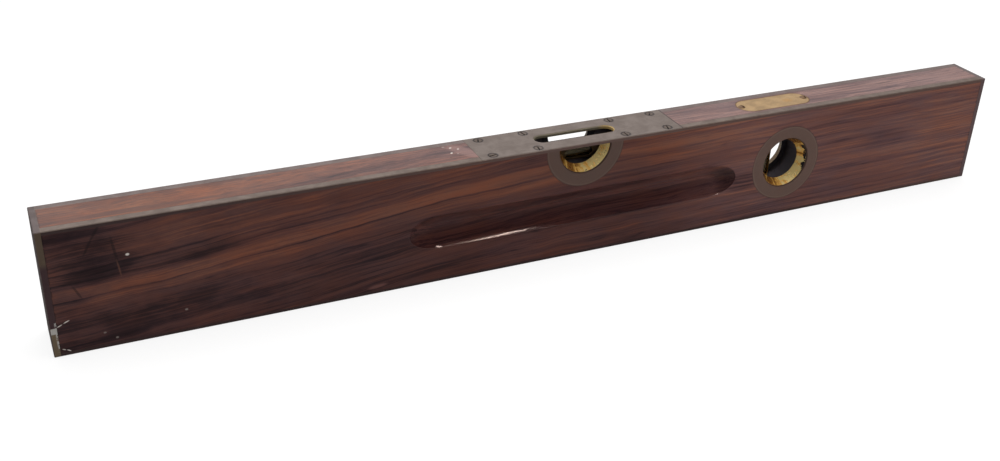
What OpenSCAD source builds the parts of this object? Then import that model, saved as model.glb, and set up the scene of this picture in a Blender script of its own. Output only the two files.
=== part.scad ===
// Brass-bound rosewood plumb and level.
// X runs along the bar, Y to the back and Z up. The origin is the middle of the base. Millimetres.

/* [Bar] */
// Length over the end plates
bar_l = 711.2; // [620:0.1:900]
// Width of the bar
bar_w = 35; // [34:0.1:46]
// Height of the bar
bar_h = 85.7; // [80:0.1:110]

/* [Brass binding] */
// Width of an edge strip
strip_w = 5.5; // [4:0.1:6.5]
// Thickness of an edge strip
strip_t = 2.4; // [1.6:0.1:3]
// Thickness of an end plate
end_t = 4; // [3:0.1:6]
// Bevel along the outer edges of the brass
edge_bevel = 0.5; // [0.2:0.1:1]
// Distance of an end plate screw from the top or the base
end_screw_inset = 18; // [10:0.5:28]

/* [Top plate] */
// Length of the top plate
plate_l = 153.6; // [142:0.1:180]
// Thickness of the top plate
plate_t = 2.4; // [1.8:0.1:3]
// Length of the sight slot
slot_l = 60.4; // [40:0.1:68]
// Width of the sight slot
slot_w = 11.2; // [8:0.1:13]
// Bevel round the sight slot
slot_bevel = 0.7; // [0.2:0.1:1]
// Distance of the plate screws from the long edges
plate_screw_edge = 5; // [4:0.1:5.5]
// Distance of the outer plate screws from the plate's ends
plate_screw_end = 9.8; // [6:0.1:12]
// Distance of the inner plate screws from the middle
plate_screw_mid = 33.6; // [33:0.1:45]

/* [Ports] */
// Outer diameter of a port ring
ring_d = 58.7; // [50:0.1:64]
// Thickness of a ring's flange
flange_t = 2.2; // [1.6:0.1:3]
// Diameter of a ring's mouth
mouth_d = 40; // [34:0.1:41]
// Diameter of a ring's throat
throat_d = 31.4; // [28:0.1:33]
// Depth of the throat from the bar's face
throat_depth = 8; // [6:0.1:8.3]
// Depth of the straight lip at the mouth
lip_depth = 0.8; // [0.4:0.1:1.5]
// Diameter of the cross bore that the rings sit in
bore_d = 41.6; // [41.3:0.1:46]
// Place of the plumb port along the bar
plumb_x = 171.6; // [150:0.1:210]

/* [Finger grooves] */
// Length of a finger groove
groove_l = 256; // [180:0.5:260]
// Height of a finger groove
groove_h = 24.5; // [16:0.1:26]
// Depth of a finger groove
groove_depth = 6; // [4:0.1:7]
// Height of a groove's middle line above the base
groove_z = 38.2; // [30:0.1:39]
// Diameter of the cutter that shapes a groove's ends
cutter_d = 100; // [50:1:130]

/* [Level vial] */
// Outer diameter of the level vial
vial_d = 12.7; // [11:0.1:13]
// Length of the level vial
vial_l = 76; // [70:0.5:80]
// Wall of the level vial
vial_wall = 1.2; // [1:0.1:1.5]
// Swell of the bore from its ends to its middle
vial_swell = 0.2; // [0.1:0.05:0.3]
// Wall of the level case
case_wall = 0.9; // [0.7:0.1:1]
// Depth of the vial's axis below the top of the bar
level_drop = 11.2; // [10.8:0.1:13]
// Width of the level mortise
mortise_w = 17; // [16.4:0.1:18]
// Depth of the level mortise
mortise_depth = 22.7; // [22:0.1:26]

/* [Plumb vial] */
// Outer diameter of the plumb vial
plumb_vial_d = 9.5; // [8:0.1:10]
// Length of the plumb vial
plumb_vial_l = 50.8; // [44:0.1:52]
// Wall of the plumb vial
plumb_vial_wall = 1.1; // [0.9:0.1:1.4]
// Wall of the plumb case
plumb_case_wall = 0.8; // [0.6:0.1:1]
// Distance of the plumb case from the port's middle
plumb_shift = 8.6; // [6:0.1:9]
// Diameter of the bored shaft that the plumb case hangs in
shaft_d = 16; // [15:0.1:17]
// Width of the pocket over the shaft
pocket_w = 15; // [14:0.1:17]
// Length of the pocket over the shaft
pocket_l = 46.5; // [45:0.1:48]
// Depth of the pocket
pocket_depth = 18.7; // [18:0.1:20]

/* [Cover plate] */
// Length of the cover plate
cover_l = 62; // [61:0.1:70]
// Width of the cover plate
cover_w = 20.6; // [18:0.1:21.5]
// Thickness of the cover plate
cover_t = 0.9; // [0.8:0.1:2]
// Distance of a cover screw from the plate's end
cover_screw_end = 3.6; // [3.2:0.1:4]

/* [Fits] */
// Gap between let-in brass and the wood round it
inlay_gap = 0.1; // [0.05:0.01:0.2]
// Running clearance of a pin or a screw in its bore, on the radius
run_gap = 0.05; // [0.02:0.01:0.09]
// Clearance between a moving face and the face beside it
side_gap = 0.15; // [0.1:0.01:0.3]
// Gap between a vial and its case
vial_gap = 0.25; // [0.1:0.05:0.3]
// Clearance round a bubble
bubble_gap = 0.3; // [0.25:0.01:0.4]

/* [Hidden] */
$fn = 64;
cut = 1;
half_w = bar_w / 2;
bar_x = bar_l / 2 - end_t;
plate_x = plate_l / 2;
plate_z = bar_h - plate_t;
plate_screw_y = half_w - plate_screw_edge;
strip_y = half_w - strip_w;

port_z = plate_z;
plumb_z = bar_h / 2;
pocket_x = plumb_x - 5.1;
cover_x = plumb_x - 6.4;
cover_z = bar_h - cover_t;
case_x = plumb_x - plumb_shift;

// Wood screws: head diameter, shank diameter and length
plate_screw = [6.5, 3.4, 14];
end_screw = [7.5, 4, 28];
fixing_screw = [3.8, 2, 5];
cover_screw = [5.4, 3, 12];
screw_tip = 3;
screw_slot = 0.9;
cover_dome = 1.1;

// Turn of each screw slot, in degrees, front row first and left to right
plate_slots = [12, 84, 95, 78, 70, 100, 88, 62];
end_slots = [20, 75, 110, 50];
cover_slots = [111, 128];

// Level unit: the case runs along X, its hinge is at the left and its adjuster at the right
level_z = bar_h - level_drop;
level_floor = bar_h - mortise_depth;
level_case_r = vial_d / 2 + vial_gap + case_wall;
level_tube_r = level_case_r - case_wall;
plug_l = 3;
plaster_l = 1;
flange_l = 2.5;
level_tube_x = vial_l / 2 + plaster_l + plug_l;
level_cap_x = level_tube_x + flange_l;
level_pivot_x = level_cap_x + 5.5;
level_screw_x = level_cap_x + 5.5;
mortise_x = level_pivot_x + 12;
tongue_y = 3;
tongue_t = 3;
eye_r = 3.2;
pin_r = 1.2;
pin_over = 0.35;
ear_t = 1.8;
foot_t = 2;
nut_t = 2.5;
seat_gap = 0.5;
adjust_r = 1.45;
adjust_hole_r = 1.9;
adjust_head_r = 3.2;
adjust_head_h = 2;
adjust_tail = 4.5;
adjust_slot = 0.8;
washer_r = 3.4;
washer_t = 0.6;
washer_gap = 0.1;
head_gap = 0.05;

// Windows of the two cases
top_window = [56, 9];
side_window = [22, 6.5];
plumb_window = [30, 7.6];

// Bubble of the level: length at the top of the bore, and depth
bubble_l = 20;
bubble_h = 2.6;
vial_end = 3;
vial_corner = 2;
bore_steps = 6;

// Plumb unit: the case hangs along Z from an arm, hinged at the left and adjusted at the right
plumb_case_r = plumb_vial_d / 2 + vial_gap + plumb_case_wall;
plumb_tube_r = plumb_case_r - plumb_case_wall;
pocket_z = bar_h - pocket_depth;
arm_rise = 7.5;
arm_z = pocket_z + arm_rise;
arm_t = 3;
arm_half = 4.5;
plumb_pivot_x = pocket_x - pocket_l / 2 + 8.8;
plumb_pivot_z = arm_z + arm_t / 2;
plumb_screw_x = pocket_x + pocket_l / 2 - 6.8;
boss_r = 2.8;
plumb_vial_z0 = plumb_z - plumb_vial_l / 2;
plumb_vial_z1 = plumb_z + plumb_vial_l / 2;
plumb_case_z0 = plumb_vial_z0 - plaster_l - plug_l;
shaft_z0 = plumb_case_z0 - flange_l - 1.5;
plumb_vial_end = 2.8;
slug_h = 6;

// Springs: wire diameter, coils, steps in a turn and sides of the wire
wire_d = 0.8;
coils = 4.5;
coil_steps = 16;
wire_sides = 6;

rosewood = "#5a2f26";
dull_brass = "#8a7d68";
bright_brass = "#c9a45c";
steel = "#8d8f92";
glass_tint = "#cfe0d8";

// Turned pieces stand along Y or X with these two turns
module along_y() { rotate([90, 0, 0]) children(); }
module along_x() { rotate([0, 90, 0]) children(); }

// Copies at the front and at the back of the bar
module both_faces() {
  children();
  mirror([0, 1, 0]) children();
}

// Block between two corners
module block(low, high) { translate(low) cube(high - low); }

// Flat outline with round ends, along X
module obround(l, w) {
  square([l - w, w], center = true);
  for (side = [-1, 1]) translate([side * (l - w) / 2, 0]) circle(d = w);
}

// Countersunk wood screw, its head's face at the origin and its point along -Z
module wood_screw(size, turn) {
  head_h = (size[0] - size[1]) / 2;
  difference() {
    union() {
      translate([0, 0, -head_h]) cylinder(h = head_h, d1 = size[1], d2 = size[0]);
      translate([0, 0, screw_tip - size[2]]) cylinder(h = size[2] - screw_tip, d = size[1]);
      translate([0, 0, -size[2]]) cylinder(h = screw_tip, d1 = 0.4, d2 = size[1]);
    }
    rotate([0, 0, turn]) translate([0, 0, -screw_slot / 2])
      cube([size[0] + cut, screw_slot, screw_slot], center = true);
  }
}

// Room for that screw in brass: the countersink and the hole below it
module screw_seat(size) {
  head_h = (size[0] - size[1]) / 2;
  translate([0, 0, -head_h]) cylinder(h = head_h, d1 = size[1], d2 = size[0]);
  cylinder(h = cut, d = size[0]);
  translate([0, 0, -size[2]]) cylinder(h = size[2], d = size[1]);
}

// Pilot hole for that screw in wood
module pilot(size) { translate([0, 0, -size[2]]) cylinder(h = size[2], d = size[1]); }

// Places of the eight top plate screws, of the end screws and of the cover screws
plate_screw_xs = [-plate_x + plate_screw_end, -plate_screw_mid, plate_screw_mid,
  plate_x - plate_screw_end];
plate_screw_at = [for (side = [-1, 1], x = plate_screw_xs) [x, side * plate_screw_y, bar_h]];
end_screw_z = [end_screw_inset, bar_h - end_screw_inset];
cover_screw_xs = [for (side = [-1, 1]) cover_x + side * (cover_l / 2 - cover_screw_end)];

module at_end_screws() {
  for (side = [0, 1], i = [0, 1]) mirror([side, 0, 0])
    translate([-bar_l / 2, 0, end_screw_z[i]]) rotate([0, -90, 0]) rotate(end_slots[2 * side + i])
      children();
}

// Finger groove: a cove with a round section, whose ends keep the radius of the cutter
cove_r = (pow(groove_h / 2, 2) + pow(groove_depth, 2)) / (2 * groove_depth);
groove_reach = sqrt(cutter_d * groove_depth - pow(groove_depth, 2));
groove_straight = groove_l / 2 - groove_reach;

module cove_profile() {
  translate([cutter_d / 2 - cove_r, 0]) circle(r = cove_r, $fn = 96);
}

module groove_cut() {
  translate([0, -half_w + groove_depth - cutter_d / 2, groove_z]) {
    for (side = [0, 1]) mirror([side, 0, 0]) translate([groove_straight, 0, 0])
      rotate([0, 0, -90]) rotate_extrude(angle = 180, $fn = 96) cove_profile();
    translate([-groove_straight, 0, 0]) rotate([90, 0, 90])
      linear_extrude(2 * groove_straight) cove_profile();
  }
}

// Ring profile: radius across, depth from the bar's face upwards
module ring_profile() {
  polygon([[mouth_d / 2, 0], [ring_d / 2, 0], [ring_d / 2, flange_t],
    [bore_d / 2 - inlay_gap, flange_t], [bore_d / 2 - inlay_gap, throat_depth],
    [throat_d / 2, throat_depth], [mouth_d / 2 - 0.4, lip_depth], [mouth_d / 2, lip_depth]]);
}

module port_ring(x, z) {
  translate([x, -half_w, z]) rotate([-90, 0, 0]) rotate_extrude($fn = 128) ring_profile();
}

// Cross bore with the two flange recesses
module port_cut(x, z) {
  translate([x, half_w + cut, z]) along_y() cylinder(h = bar_w + 2 * cut, d = bore_d, $fn = 128);
  both_faces() translate([x, flange_t - half_w, z]) along_y()
    cylinder(h = flange_t + cut, r = ring_d / 2 + inlay_gap, $fn = 128);
}

// Long edge strip between two places along X, drawn for the front top edge
module edge_strip(x0, x1) {
  translate([x0, -half_w, bar_h]) rotate([90, 0, 90]) linear_extrude(x1 - x0)
    polygon([[0, -strip_t], [strip_w, -strip_t], [strip_w, 0], [edge_bevel, 0], [0, -edge_bevel]]);
}

// The same strip at the base
module base_strip() {
  translate([0, 0, bar_h]) mirror([0, 0, 1]) edge_strip(-bar_x, bar_x);
}

// Rebate that the strips along one edge of the bar lie in
module strip_rebate() {
  block([-bar_x - cut, -half_w - cut, bar_h - strip_t],
    [bar_x + cut, strip_w + inlay_gap - half_w, bar_h + cut]);
}

module stock() {
  color(rosewood) difference() {
    block([-bar_x, -half_w, 0], [bar_x, half_w, bar_h]);
    both_faces() {
      strip_rebate();
      translate([0, 0, bar_h]) mirror([0, 0, 1]) strip_rebate();
      groove_cut();
    }
    block([-plate_x, -half_w - cut, plate_z], [plate_x, half_w + cut, bar_h + cut]);
    port_cut(0, port_z);
    port_cut(plumb_x, plumb_z);
    level_mortise();
    plumb_mortise();
    for (p = plate_screw_at) translate(p) pilot(plate_screw);
    for (x = cover_screw_xs) translate([x, 0, bar_h]) pilot(cover_screw);
    at_end_screws() pilot(end_screw);
  }
}

module level_mortise() {
  block([-mortise_x, -mortise_w / 2, level_floor], [mortise_x, mortise_w / 2, bar_h + cut]);
  translate([level_screw_x, 0, level_floor - adjust_tail - cut])
    cylinder(h = adjust_tail + 2 * cut, r = adjust_hole_r);
  at_level_fixing_screws() pilot(fixing_screw);
}

module plumb_mortise() {
  block([pocket_x - pocket_l / 2, -pocket_w / 2, pocket_z],
    [pocket_x + pocket_l / 2, pocket_w / 2, bar_h + cut]);
  translate([cover_x, 0, cover_z]) linear_extrude(cover_t + cut)
    obround(cover_l + 2 * inlay_gap, cover_w + 2 * inlay_gap);
  translate([case_x, 0, shaft_z0]) cylinder(h = pocket_z - shaft_z0 + cut, d = shaft_d);
  translate([plumb_screw_x, 0, pocket_z - adjust_tail])
    cylinder(h = adjust_tail + cut, r = adjust_hole_r);
  at_plumb_fixing_screws() pilot(fixing_screw);
}

module strip_top_front_left() { color(dull_brass) edge_strip(-bar_x, -plate_x); }
module strip_top_front_right() { color(dull_brass) edge_strip(plate_x, bar_x); }
module strip_top_rear_left() { mirror([0, 1, 0]) strip_top_front_left(); }
module strip_top_rear_right() { mirror([0, 1, 0]) strip_top_front_right(); }
module strip_bottom_front() { color(dull_brass) base_strip(); }
module strip_bottom_rear() { color(dull_brass) mirror([0, 1, 0]) base_strip(); }

// End plate: a slab with bevelled corners, and a bevel round its outer face
module end_plate_left() {
  color(dull_brass) difference() {
    translate([-bar_l / 2, 0, 0]) rotate([90, 0, 90]) linear_extrude(end_t) polygon([
      [-half_w + edge_bevel, 0], [half_w - edge_bevel, 0], [half_w, edge_bevel],
      [half_w, bar_h - edge_bevel], [half_w - edge_bevel, bar_h], [-half_w + edge_bevel, bar_h],
      [-half_w, bar_h - edge_bevel], [-half_w, edge_bevel]]);
    for (z = [0, bar_h]) translate([-bar_l / 2, 0, z]) rotate([0, 45, 0])
      cube([edge_bevel * sqrt(2), bar_w + cut, edge_bevel * sqrt(2)], center = true);
    for (y = [-half_w, half_w]) translate([-bar_l / 2, y, bar_h / 2]) rotate([0, 0, 45])
      cube([edge_bevel * sqrt(2), edge_bevel * sqrt(2), bar_h + cut], center = true);
    at_end_screws() screw_seat(end_screw);
  }
}

module end_plate_right() { mirror([1, 0, 0]) end_plate_left(); }

module end_plate_screws() {
  color(dull_brass) for (side = [0, 1], i = [0, 1]) mirror([side, 0, 0])
    translate([-bar_l / 2, 0, end_screw_z[i]]) rotate([0, -90, 0])
      wood_screw(end_screw, end_slots[2 * side + i]);
}

// Sight slot with its bevel: straight sides, and a cone at each end
module slot_cut() {
  bevel_d = slot_w + 2 * slot_bevel;
  translate([0, 0, plate_z - cut]) linear_extrude(plate_t + 2 * cut) obround(slot_l, slot_w);
  for (side = [-1, 1]) translate([side * (slot_l - slot_w) / 2, 0, bar_h - slot_bevel])
    cylinder(h = slot_bevel, d1 = slot_w, d2 = bevel_d);
  translate([(slot_w - slot_l) / 2, 0, bar_h - slot_bevel]) rotate([90, 0, 90])
    linear_extrude(slot_l - slot_w) polygon([[-slot_w / 2, 0], [slot_w / 2, 0],
      [bevel_d / 2, slot_bevel], [-bevel_d / 2, slot_bevel]]);
}

module top_plate() {
  color(dull_brass) difference() {
    translate([inlay_gap - plate_x, 0, plate_z]) rotate([90, 0, 90])
      linear_extrude(plate_l - 2 * inlay_gap) polygon([[-half_w, 0], [half_w, 0],
        [half_w, plate_t - edge_bevel], [half_w - edge_bevel, plate_t],
        [edge_bevel - half_w, plate_t], [-half_w, plate_t - edge_bevel]]);
    slot_cut();
    for (p = plate_screw_at) translate(p) screw_seat(plate_screw);
  }
}

module top_plate_screws() {
  color(dull_brass) for (i = [0 : len(plate_screw_at) - 1])
    translate(plate_screw_at[i]) wood_screw(plate_screw, plate_slots[i]);
}

// Half ring under the top plate
module centre_port_front() {
  color(dull_brass) difference() {
    port_ring(0, port_z);
    block([-ring_d, -bar_w, port_z], [ring_d, bar_w, port_z + ring_d]);
  }
}

module centre_port_rear() { mirror([0, 1, 0]) centre_port_front(); }
module plumb_port_front() { color(dull_brass) port_ring(plumb_x, plumb_z); }
module plumb_port_rear() { mirror([0, 1, 0]) plumb_port_front(); }

module plumb_cover() {
  color(bright_brass) difference() {
    translate([cover_x, 0, cover_z]) linear_extrude(cover_t) obround(cover_l, cover_w);
    for (x = cover_screw_xs) translate([x, 0, cover_z - cut])
      cylinder(h = cover_t + 2 * cut, d = cover_screw[1]);
  }
}

// Round-head screws: the dome is part of a sphere
module plumb_cover_screws() {
  dome_r = (pow(cover_screw[0] / 2, 2) + pow(cover_dome, 2)) / (2 * cover_dome);
  color(bright_brass) for (i = [0, 1])
    translate([cover_screw_xs[i], 0, bar_h]) difference() {
      union() {
        intersection() {
          translate([0, 0, cover_dome - dome_r]) sphere(r = dome_r);
          cylinder(h = cover_dome + cut, d = cover_screw[0] + cut);
        }
        translate([0, 0, screw_tip - cover_screw[2]])
          cylinder(h = cover_screw[2] - screw_tip, d = cover_screw[1]);
        translate([0, 0, -cover_screw[2]]) cylinder(h = screw_tip, d1 = 0.4, d2 = cover_screw[1]);
      }
      rotate([0, 0, cover_slots[i]]) translate([0, 0, cover_dome])
        cube([cover_screw[0] + cut, screw_slot, 2 * screw_slot], center = true);
    }
}

// Level case: a tube with a window above, and one at each side where the port is
module level_case() {
  color(bright_brass) translate([0, 0, level_z]) difference() {
    translate([-level_tube_x, 0, 0]) along_x() cylinder(h = 2 * level_tube_x, r = level_case_r);
    translate([-level_tube_x - cut, 0, 0]) along_x()
      cylinder(h = 2 * (level_tube_x + cut), r = level_tube_r);
    linear_extrude(level_case_r + cut) obround(top_window[0], top_window[1]);
    translate([0, bar_w / 2, 0]) along_y()
      linear_extrude(bar_w) obround(side_window[0], side_window[1]);
  }
}

// Plug and flange that close one end of a case, along +Z from the plug's inner face
module cap_plug(plug_r, case_r) {
  cylinder(h = plug_l, r = plug_r);
  translate([0, 0, plug_l]) cylinder(h = flange_l, r = case_r);
}

module level_cap_plug() {
  translate([level_tube_x - plug_l, 0, level_z]) along_x() cap_plug(level_tube_r, level_case_r);
}

module level_hinge_cap() {
  color(bright_brass) difference() {
    union() {
      mirror([1, 0, 0]) level_cap_plug();
      block([-level_pivot_x, -tongue_y, level_z - 2.2], [-level_cap_x, tongue_y, level_z + 2.2]);
      translate([-level_pivot_x, tongue_y, level_z]) along_y()
        cylinder(h = 2 * tongue_y, r = eye_r);
    }
    translate([-level_pivot_x, tongue_y + cut, level_z]) along_y()
      cylinder(h = 2 * (tongue_y + cut), r = pin_r + run_gap);
  }
}

module level_screw_cap() {
  tongue_r = 4;
  color(bright_brass) difference() {
    union() {
      level_cap_plug();
      block([level_cap_x, -tongue_r, level_z - tongue_t / 2],
        [level_screw_x, tongue_r, level_z + tongue_t / 2]);
      translate([level_screw_x, 0, level_z - tongue_t / 2]) cylinder(h = tongue_t, r = tongue_r);
    }
    translate([level_screw_x, 0, level_z - tongue_t])
      cylinder(h = 2 * tongue_t, r = adjust_hole_r);
  }
}

// Vial outline and bore as half sections: radius across, length upwards
function arc(at, r, a0, a1, n = 4) = [for (i = [0 : n])
  let (a = a0 + (a1 - a0) * i / n) at + r * [cos(a), sin(a)]];

module vial_outline(r, l) {
  polygon(concat([[0, -l / 2]],
    arc([r - vial_corner, vial_corner - l / 2], vial_corner, -90, 0),
    arc([r - vial_corner, l / 2 - vial_corner], vial_corner, 0, 90), [[0, l / 2]]));
}

// The bore swells from its ends to its middle, in short cones
module bore_outline(r, l, swell) {
  polygon([[0, -l / 2], for (i = [-bore_steps : bore_steps])
    [r - swell * pow(i / bore_steps, 2), l / 2 * i / bore_steps], [0, l / 2]]);
}

level_bore_r = vial_d / 2 - vial_wall;
level_bore_l = vial_l - 2 * vial_end;

module level_vial() {
  color(glass_tint) translate([0, 0, level_z]) along_x() difference() {
    rotate_extrude() vial_outline(vial_d / 2, vial_l);
    rotate_extrude() bore_outline(level_bore_r, level_bore_l, vial_swell);
  }
}

// The bubble lies under the crown of the bore: its lower side is part of a large sphere
bubble_ball_r = (pow(bubble_l / 2, 2) + pow(bubble_h, 2)) / (2 * bubble_h);

module bubble_ball(extra) {
  translate([0, 0, level_z + level_bore_r - bubble_gap - bubble_h + bubble_ball_r])
    sphere(r = bubble_ball_r + extra, $fn = 96);
}

module level_spirit() {
  color("#d8d27a") difference() {
    translate([0, 0, level_z]) along_x()
      rotate_extrude() bore_outline(level_bore_r, level_bore_l, vial_swell);
    bubble_ball(bubble_gap);
  }
}

module level_bubble() {
  color("white") intersection() {
    translate([-bubble_l, 0, level_z]) along_x()
      cylinder(h = 2 * bubble_l, r = level_bore_r - bubble_gap);
    bubble_ball(0);
  }
}

// Plaster that beds both ends of the vial
module level_plaster() {
  bed = 2;
  color("ivory") for (side = [0, 1]) mirror([side, 0, 0]) difference() {
    translate([vial_l / 2 - bed, 0, level_z]) along_x()
      cylinder(h = bed + plaster_l, r = level_tube_r);
    translate([0, 0, level_z]) along_x() rotate_extrude() vial_outline(vial_d / 2, vial_l);
  }
}

// Two ears for a hinge pin, rising from the top of a foot
module ears(x, z, foot_z, ear_r, inner_y) {
  both_faces() {
    block([x - ear_r, inner_y, foot_z], [x + ear_r, inner_y + ear_t, z]);
    translate([x, inner_y + ear_t, z]) along_y() cylinder(h = ear_t, r = ear_r);
  }
}

module pin_bore(x, z) {
  translate([x, half_w, z]) along_y() cylinder(h = bar_w, r = pin_r);
}

level_foot_y = mortise_w / 2 - seat_gap;
level_screw_place = [-level_pivot_x - 6, -level_pivot_x + 6, level_screw_x - 5.5,
  level_screw_x + 5.5];

module at_level_fixing_screws() {
  for (i = [0 : 3]) translate([level_screw_place[i], 0, level_floor + (i < 2 ? foot_t : nut_t)])
    rotate(35 * i) children();
}

module level_bracket() {
  color(dull_brass) difference() {
    union() {
      block([-level_pivot_x - 9, -level_foot_y, level_floor],
        [-level_pivot_x + 9, level_foot_y, level_floor + foot_t]);
      ears(-level_pivot_x, level_z, level_floor + foot_t, eye_r, tongue_y + side_gap);
    }
    pin_bore(-level_pivot_x, level_z);
    at_level_fixing_screws() screw_seat(fixing_screw);
  }
}

module hinge_pin(x, z, inner_y) {
  pin_l = 2 * (inner_y + ear_t + pin_over);
  translate([x, pin_l / 2, z]) along_y() cylinder(h = pin_l, r = pin_r);
}

module level_hinge_pin() {
  color(steel) hinge_pin(-level_pivot_x, level_z, tongue_y + side_gap);
}

module level_foot_plate() {
  color(dull_brass) difference() {
    block([level_screw_x - 8, -level_foot_y, level_floor],
      [level_screw_x + 8, level_foot_y, level_floor + nut_t]);
    translate([level_screw_x, 0, level_floor - cut])
      cylinder(h = nut_t + 2 * cut, r = adjust_r + run_gap);
    at_level_fixing_screws() screw_seat(fixing_screw);
  }
}

module level_fixing_screws() {
  color(dull_brass) at_level_fixing_screws() wood_screw(fixing_screw, 0);
}

// Washer and adjusting screw over a moving tongue
module washer(x, z) {
  translate([x, 0, z + washer_gap]) difference() {
    cylinder(h = washer_t, r = washer_r);
    translate([0, 0, -cut]) cylinder(h = washer_t + 2 * cut, r = adjust_r + run_gap);
  }
}

module adjusting_screw(x, z, floor_z) {
  head_z = z + washer_gap + washer_t + head_gap;
  translate([x, 0, 0]) difference() {
    union() {
      translate([0, 0, head_z]) cylinder(h = adjust_head_h, r = adjust_head_r);
      translate([0, 0, floor_z - adjust_tail + cut])
        cylinder(h = head_z - floor_z + adjust_tail - cut, r = adjust_r);
    }
    translate([0, 0, head_z + adjust_head_h - adjust_slot / 2])
      cube([2 * adjust_head_r + cut, adjust_slot, adjust_slot], center = true);
  }
}

module level_washer() { color(steel) washer(level_screw_x, level_z + tongue_t / 2); }

module level_adjusting_screw() {
  color(steel) adjusting_screw(level_screw_x, level_z + tongue_t / 2, level_floor);
}

// Coil spring along Z: one wire swept round a helix, with its ends square to it
function coil_point(r, lift, a) = [r * cos(a), r * sin(a), lift * a / 360];
function coil_ring(r, lift, a) = [for (k = [0 : wire_sides - 1])
  let (b = 360 * k / wire_sides, out = r + wire_d / 2 * cos(b))
  [out * cos(a), out * sin(a), lift * a / 360 + wire_d / 2 * sin(b)]];

module coil_spring(x, z0, z1, r) {
  steps = ceil(coils * coil_steps);
  lift = (z1 - z0 - wire_d) / coils;
  rings = [for (i = [0 : steps]) each coil_ring(r, lift, 360 * coils * i / steps)];
  sides = [for (i = [0 : steps - 1], k = [0 : wire_sides - 1])
    let (n = (k + 1) % wire_sides, a = i * wire_sides, b = a + wire_sides)
    each [[a + k, b + k, b + n], [a + k, b + n, a + n]]];
  first = [for (k = [0 : wire_sides - 1]) k];
  last = [for (k = [0 : wire_sides - 1]) (steps + 1) * wire_sides - 1 - k];
  translate([x, 0, z0 + wire_d / 2]) polyhedron(rings, concat(sides, [first], [last]));
}

spring_r = adjust_r + 0.4 + wire_d / 2 + 0.4;

module level_spring() {
  color(steel) coil_spring(level_screw_x, level_floor + nut_t, level_z - tongue_t / 2 - side_gap,
    spring_r);
}

// Plumb case: a tube with a window on each face of the bar
module plumb_case() {
  color(bright_brass) difference() {
    translate([case_x, 0, plumb_case_z0])
      cylinder(h = arm_z - plumb_case_z0, r = plumb_case_r);
    translate([case_x, 0, plumb_case_z0 - cut])
      cylinder(h = arm_z - plumb_case_z0 + 2 * cut, r = plumb_tube_r);
    translate([case_x, half_w, plumb_z]) along_y() linear_extrude(bar_w) rotate(90)
      obround(plumb_window[0], plumb_window[1]);
  }
}

// Arm that carries the case: a boss at the hinge, a collar over the tube and a hole for the screw
module plumb_arm() {
  color(bright_brass) difference() {
    union() {
      translate([plumb_pivot_x, tongue_y, plumb_pivot_z]) along_y()
        cylinder(h = 2 * tongue_y, r = boss_r);
      block([plumb_pivot_x, -tongue_y, arm_z], [case_x, tongue_y, arm_z + arm_t]);
      block([case_x, -arm_half, arm_z], [plumb_screw_x, arm_half, arm_z + arm_t]);
      translate([plumb_screw_x, 0, arm_z]) cylinder(h = arm_t, r = arm_half);
      translate([case_x, 0, arm_z]) cylinder(h = arm_t, r = plumb_case_r + 0.4);
      translate([case_x, 0, plumb_vial_z1 + plaster_l])
        cylinder(h = arm_z - plumb_vial_z1 - plaster_l + cut, r = plumb_tube_r);
    }
    translate([plumb_pivot_x, tongue_y + cut, plumb_pivot_z]) along_y()
      cylinder(h = 2 * (tongue_y + cut), r = pin_r + run_gap);
    translate([plumb_screw_x, 0, arm_z - cut])
      cylinder(h = arm_t + 2 * cut, r = adjust_hole_r);
  }
}

module plumb_foot_cap() {
  color(bright_brass) translate([case_x, 0, plumb_case_z0 + plug_l]) rotate([180, 0, 0])
    cap_plug(plumb_tube_r, plumb_case_r);
}

module at_plumb_vial() { translate([case_x, 0, plumb_z]) children(); }

plumb_bore_r = plumb_vial_d / 2 - plumb_vial_wall;
plumb_bore_l = plumb_vial_l - 2 * plumb_vial_end;

module plumb_vial() {
  color(glass_tint) at_plumb_vial() difference() {
    rotate_extrude() vial_outline(plumb_vial_d / 2, plumb_vial_l);
    rotate_extrude() bore_outline(plumb_bore_r, plumb_bore_l, vial_swell);
  }
}

module plumb_plaster() {
  bed = 2;
  color("ivory") at_plumb_vial() for (side = [0, 1]) mirror([0, 0, side]) difference() {
    translate([0, 0, plumb_vial_l / 2 - bed]) cylinder(h = bed + plaster_l, r = plumb_tube_r);
    rotate_extrude() vial_outline(plumb_vial_d / 2, plumb_vial_l);
  }
}

// With the bar lying flat the air stands at the top of the plumb vial, over the spirit
module plumb_spirit() {
  color("#d8d27a") at_plumb_vial() difference() {
    rotate_extrude() bore_outline(plumb_bore_r, plumb_bore_l, vial_swell);
    translate([0, 0, plumb_bore_l / 2 - slug_h - 2 * bubble_gap])
      cylinder(h = slug_h + 1, r = plumb_bore_r + cut);
  }
}

module plumb_bubble() {
  slug_r = plumb_bore_r - bubble_gap;
  color("white") at_plumb_vial()
    translate([0, 0, plumb_bore_l / 2 - bubble_gap - slug_h]) intersection() {
      cylinder(h = slug_h, r = slug_r);
      translate([0, 0, 2 * slug_r]) sphere(r = 2 * slug_r);
    }
}

plumb_foot_y = pocket_w / 2 - seat_gap;

module at_plumb_fixing_screws() {
  translate([plumb_pivot_x - 5.7, 0, pocket_z + foot_t]) children();
  translate([plumb_screw_x - 5.4, 0, pocket_z + nut_t]) rotate(40) children();
}

module plumb_bracket() {
  color(dull_brass) difference() {
    union() {
      block([plumb_pivot_x - 8.3, -plumb_foot_y, pocket_z],
        [plumb_pivot_x + boss_r, plumb_foot_y, pocket_z + foot_t]);
      ears(plumb_pivot_x, plumb_pivot_z, pocket_z + foot_t, boss_r, tongue_y + side_gap);
    }
    pin_bore(plumb_pivot_x, plumb_pivot_z);
    at_plumb_fixing_screws() screw_seat(fixing_screw);
  }
}

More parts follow.
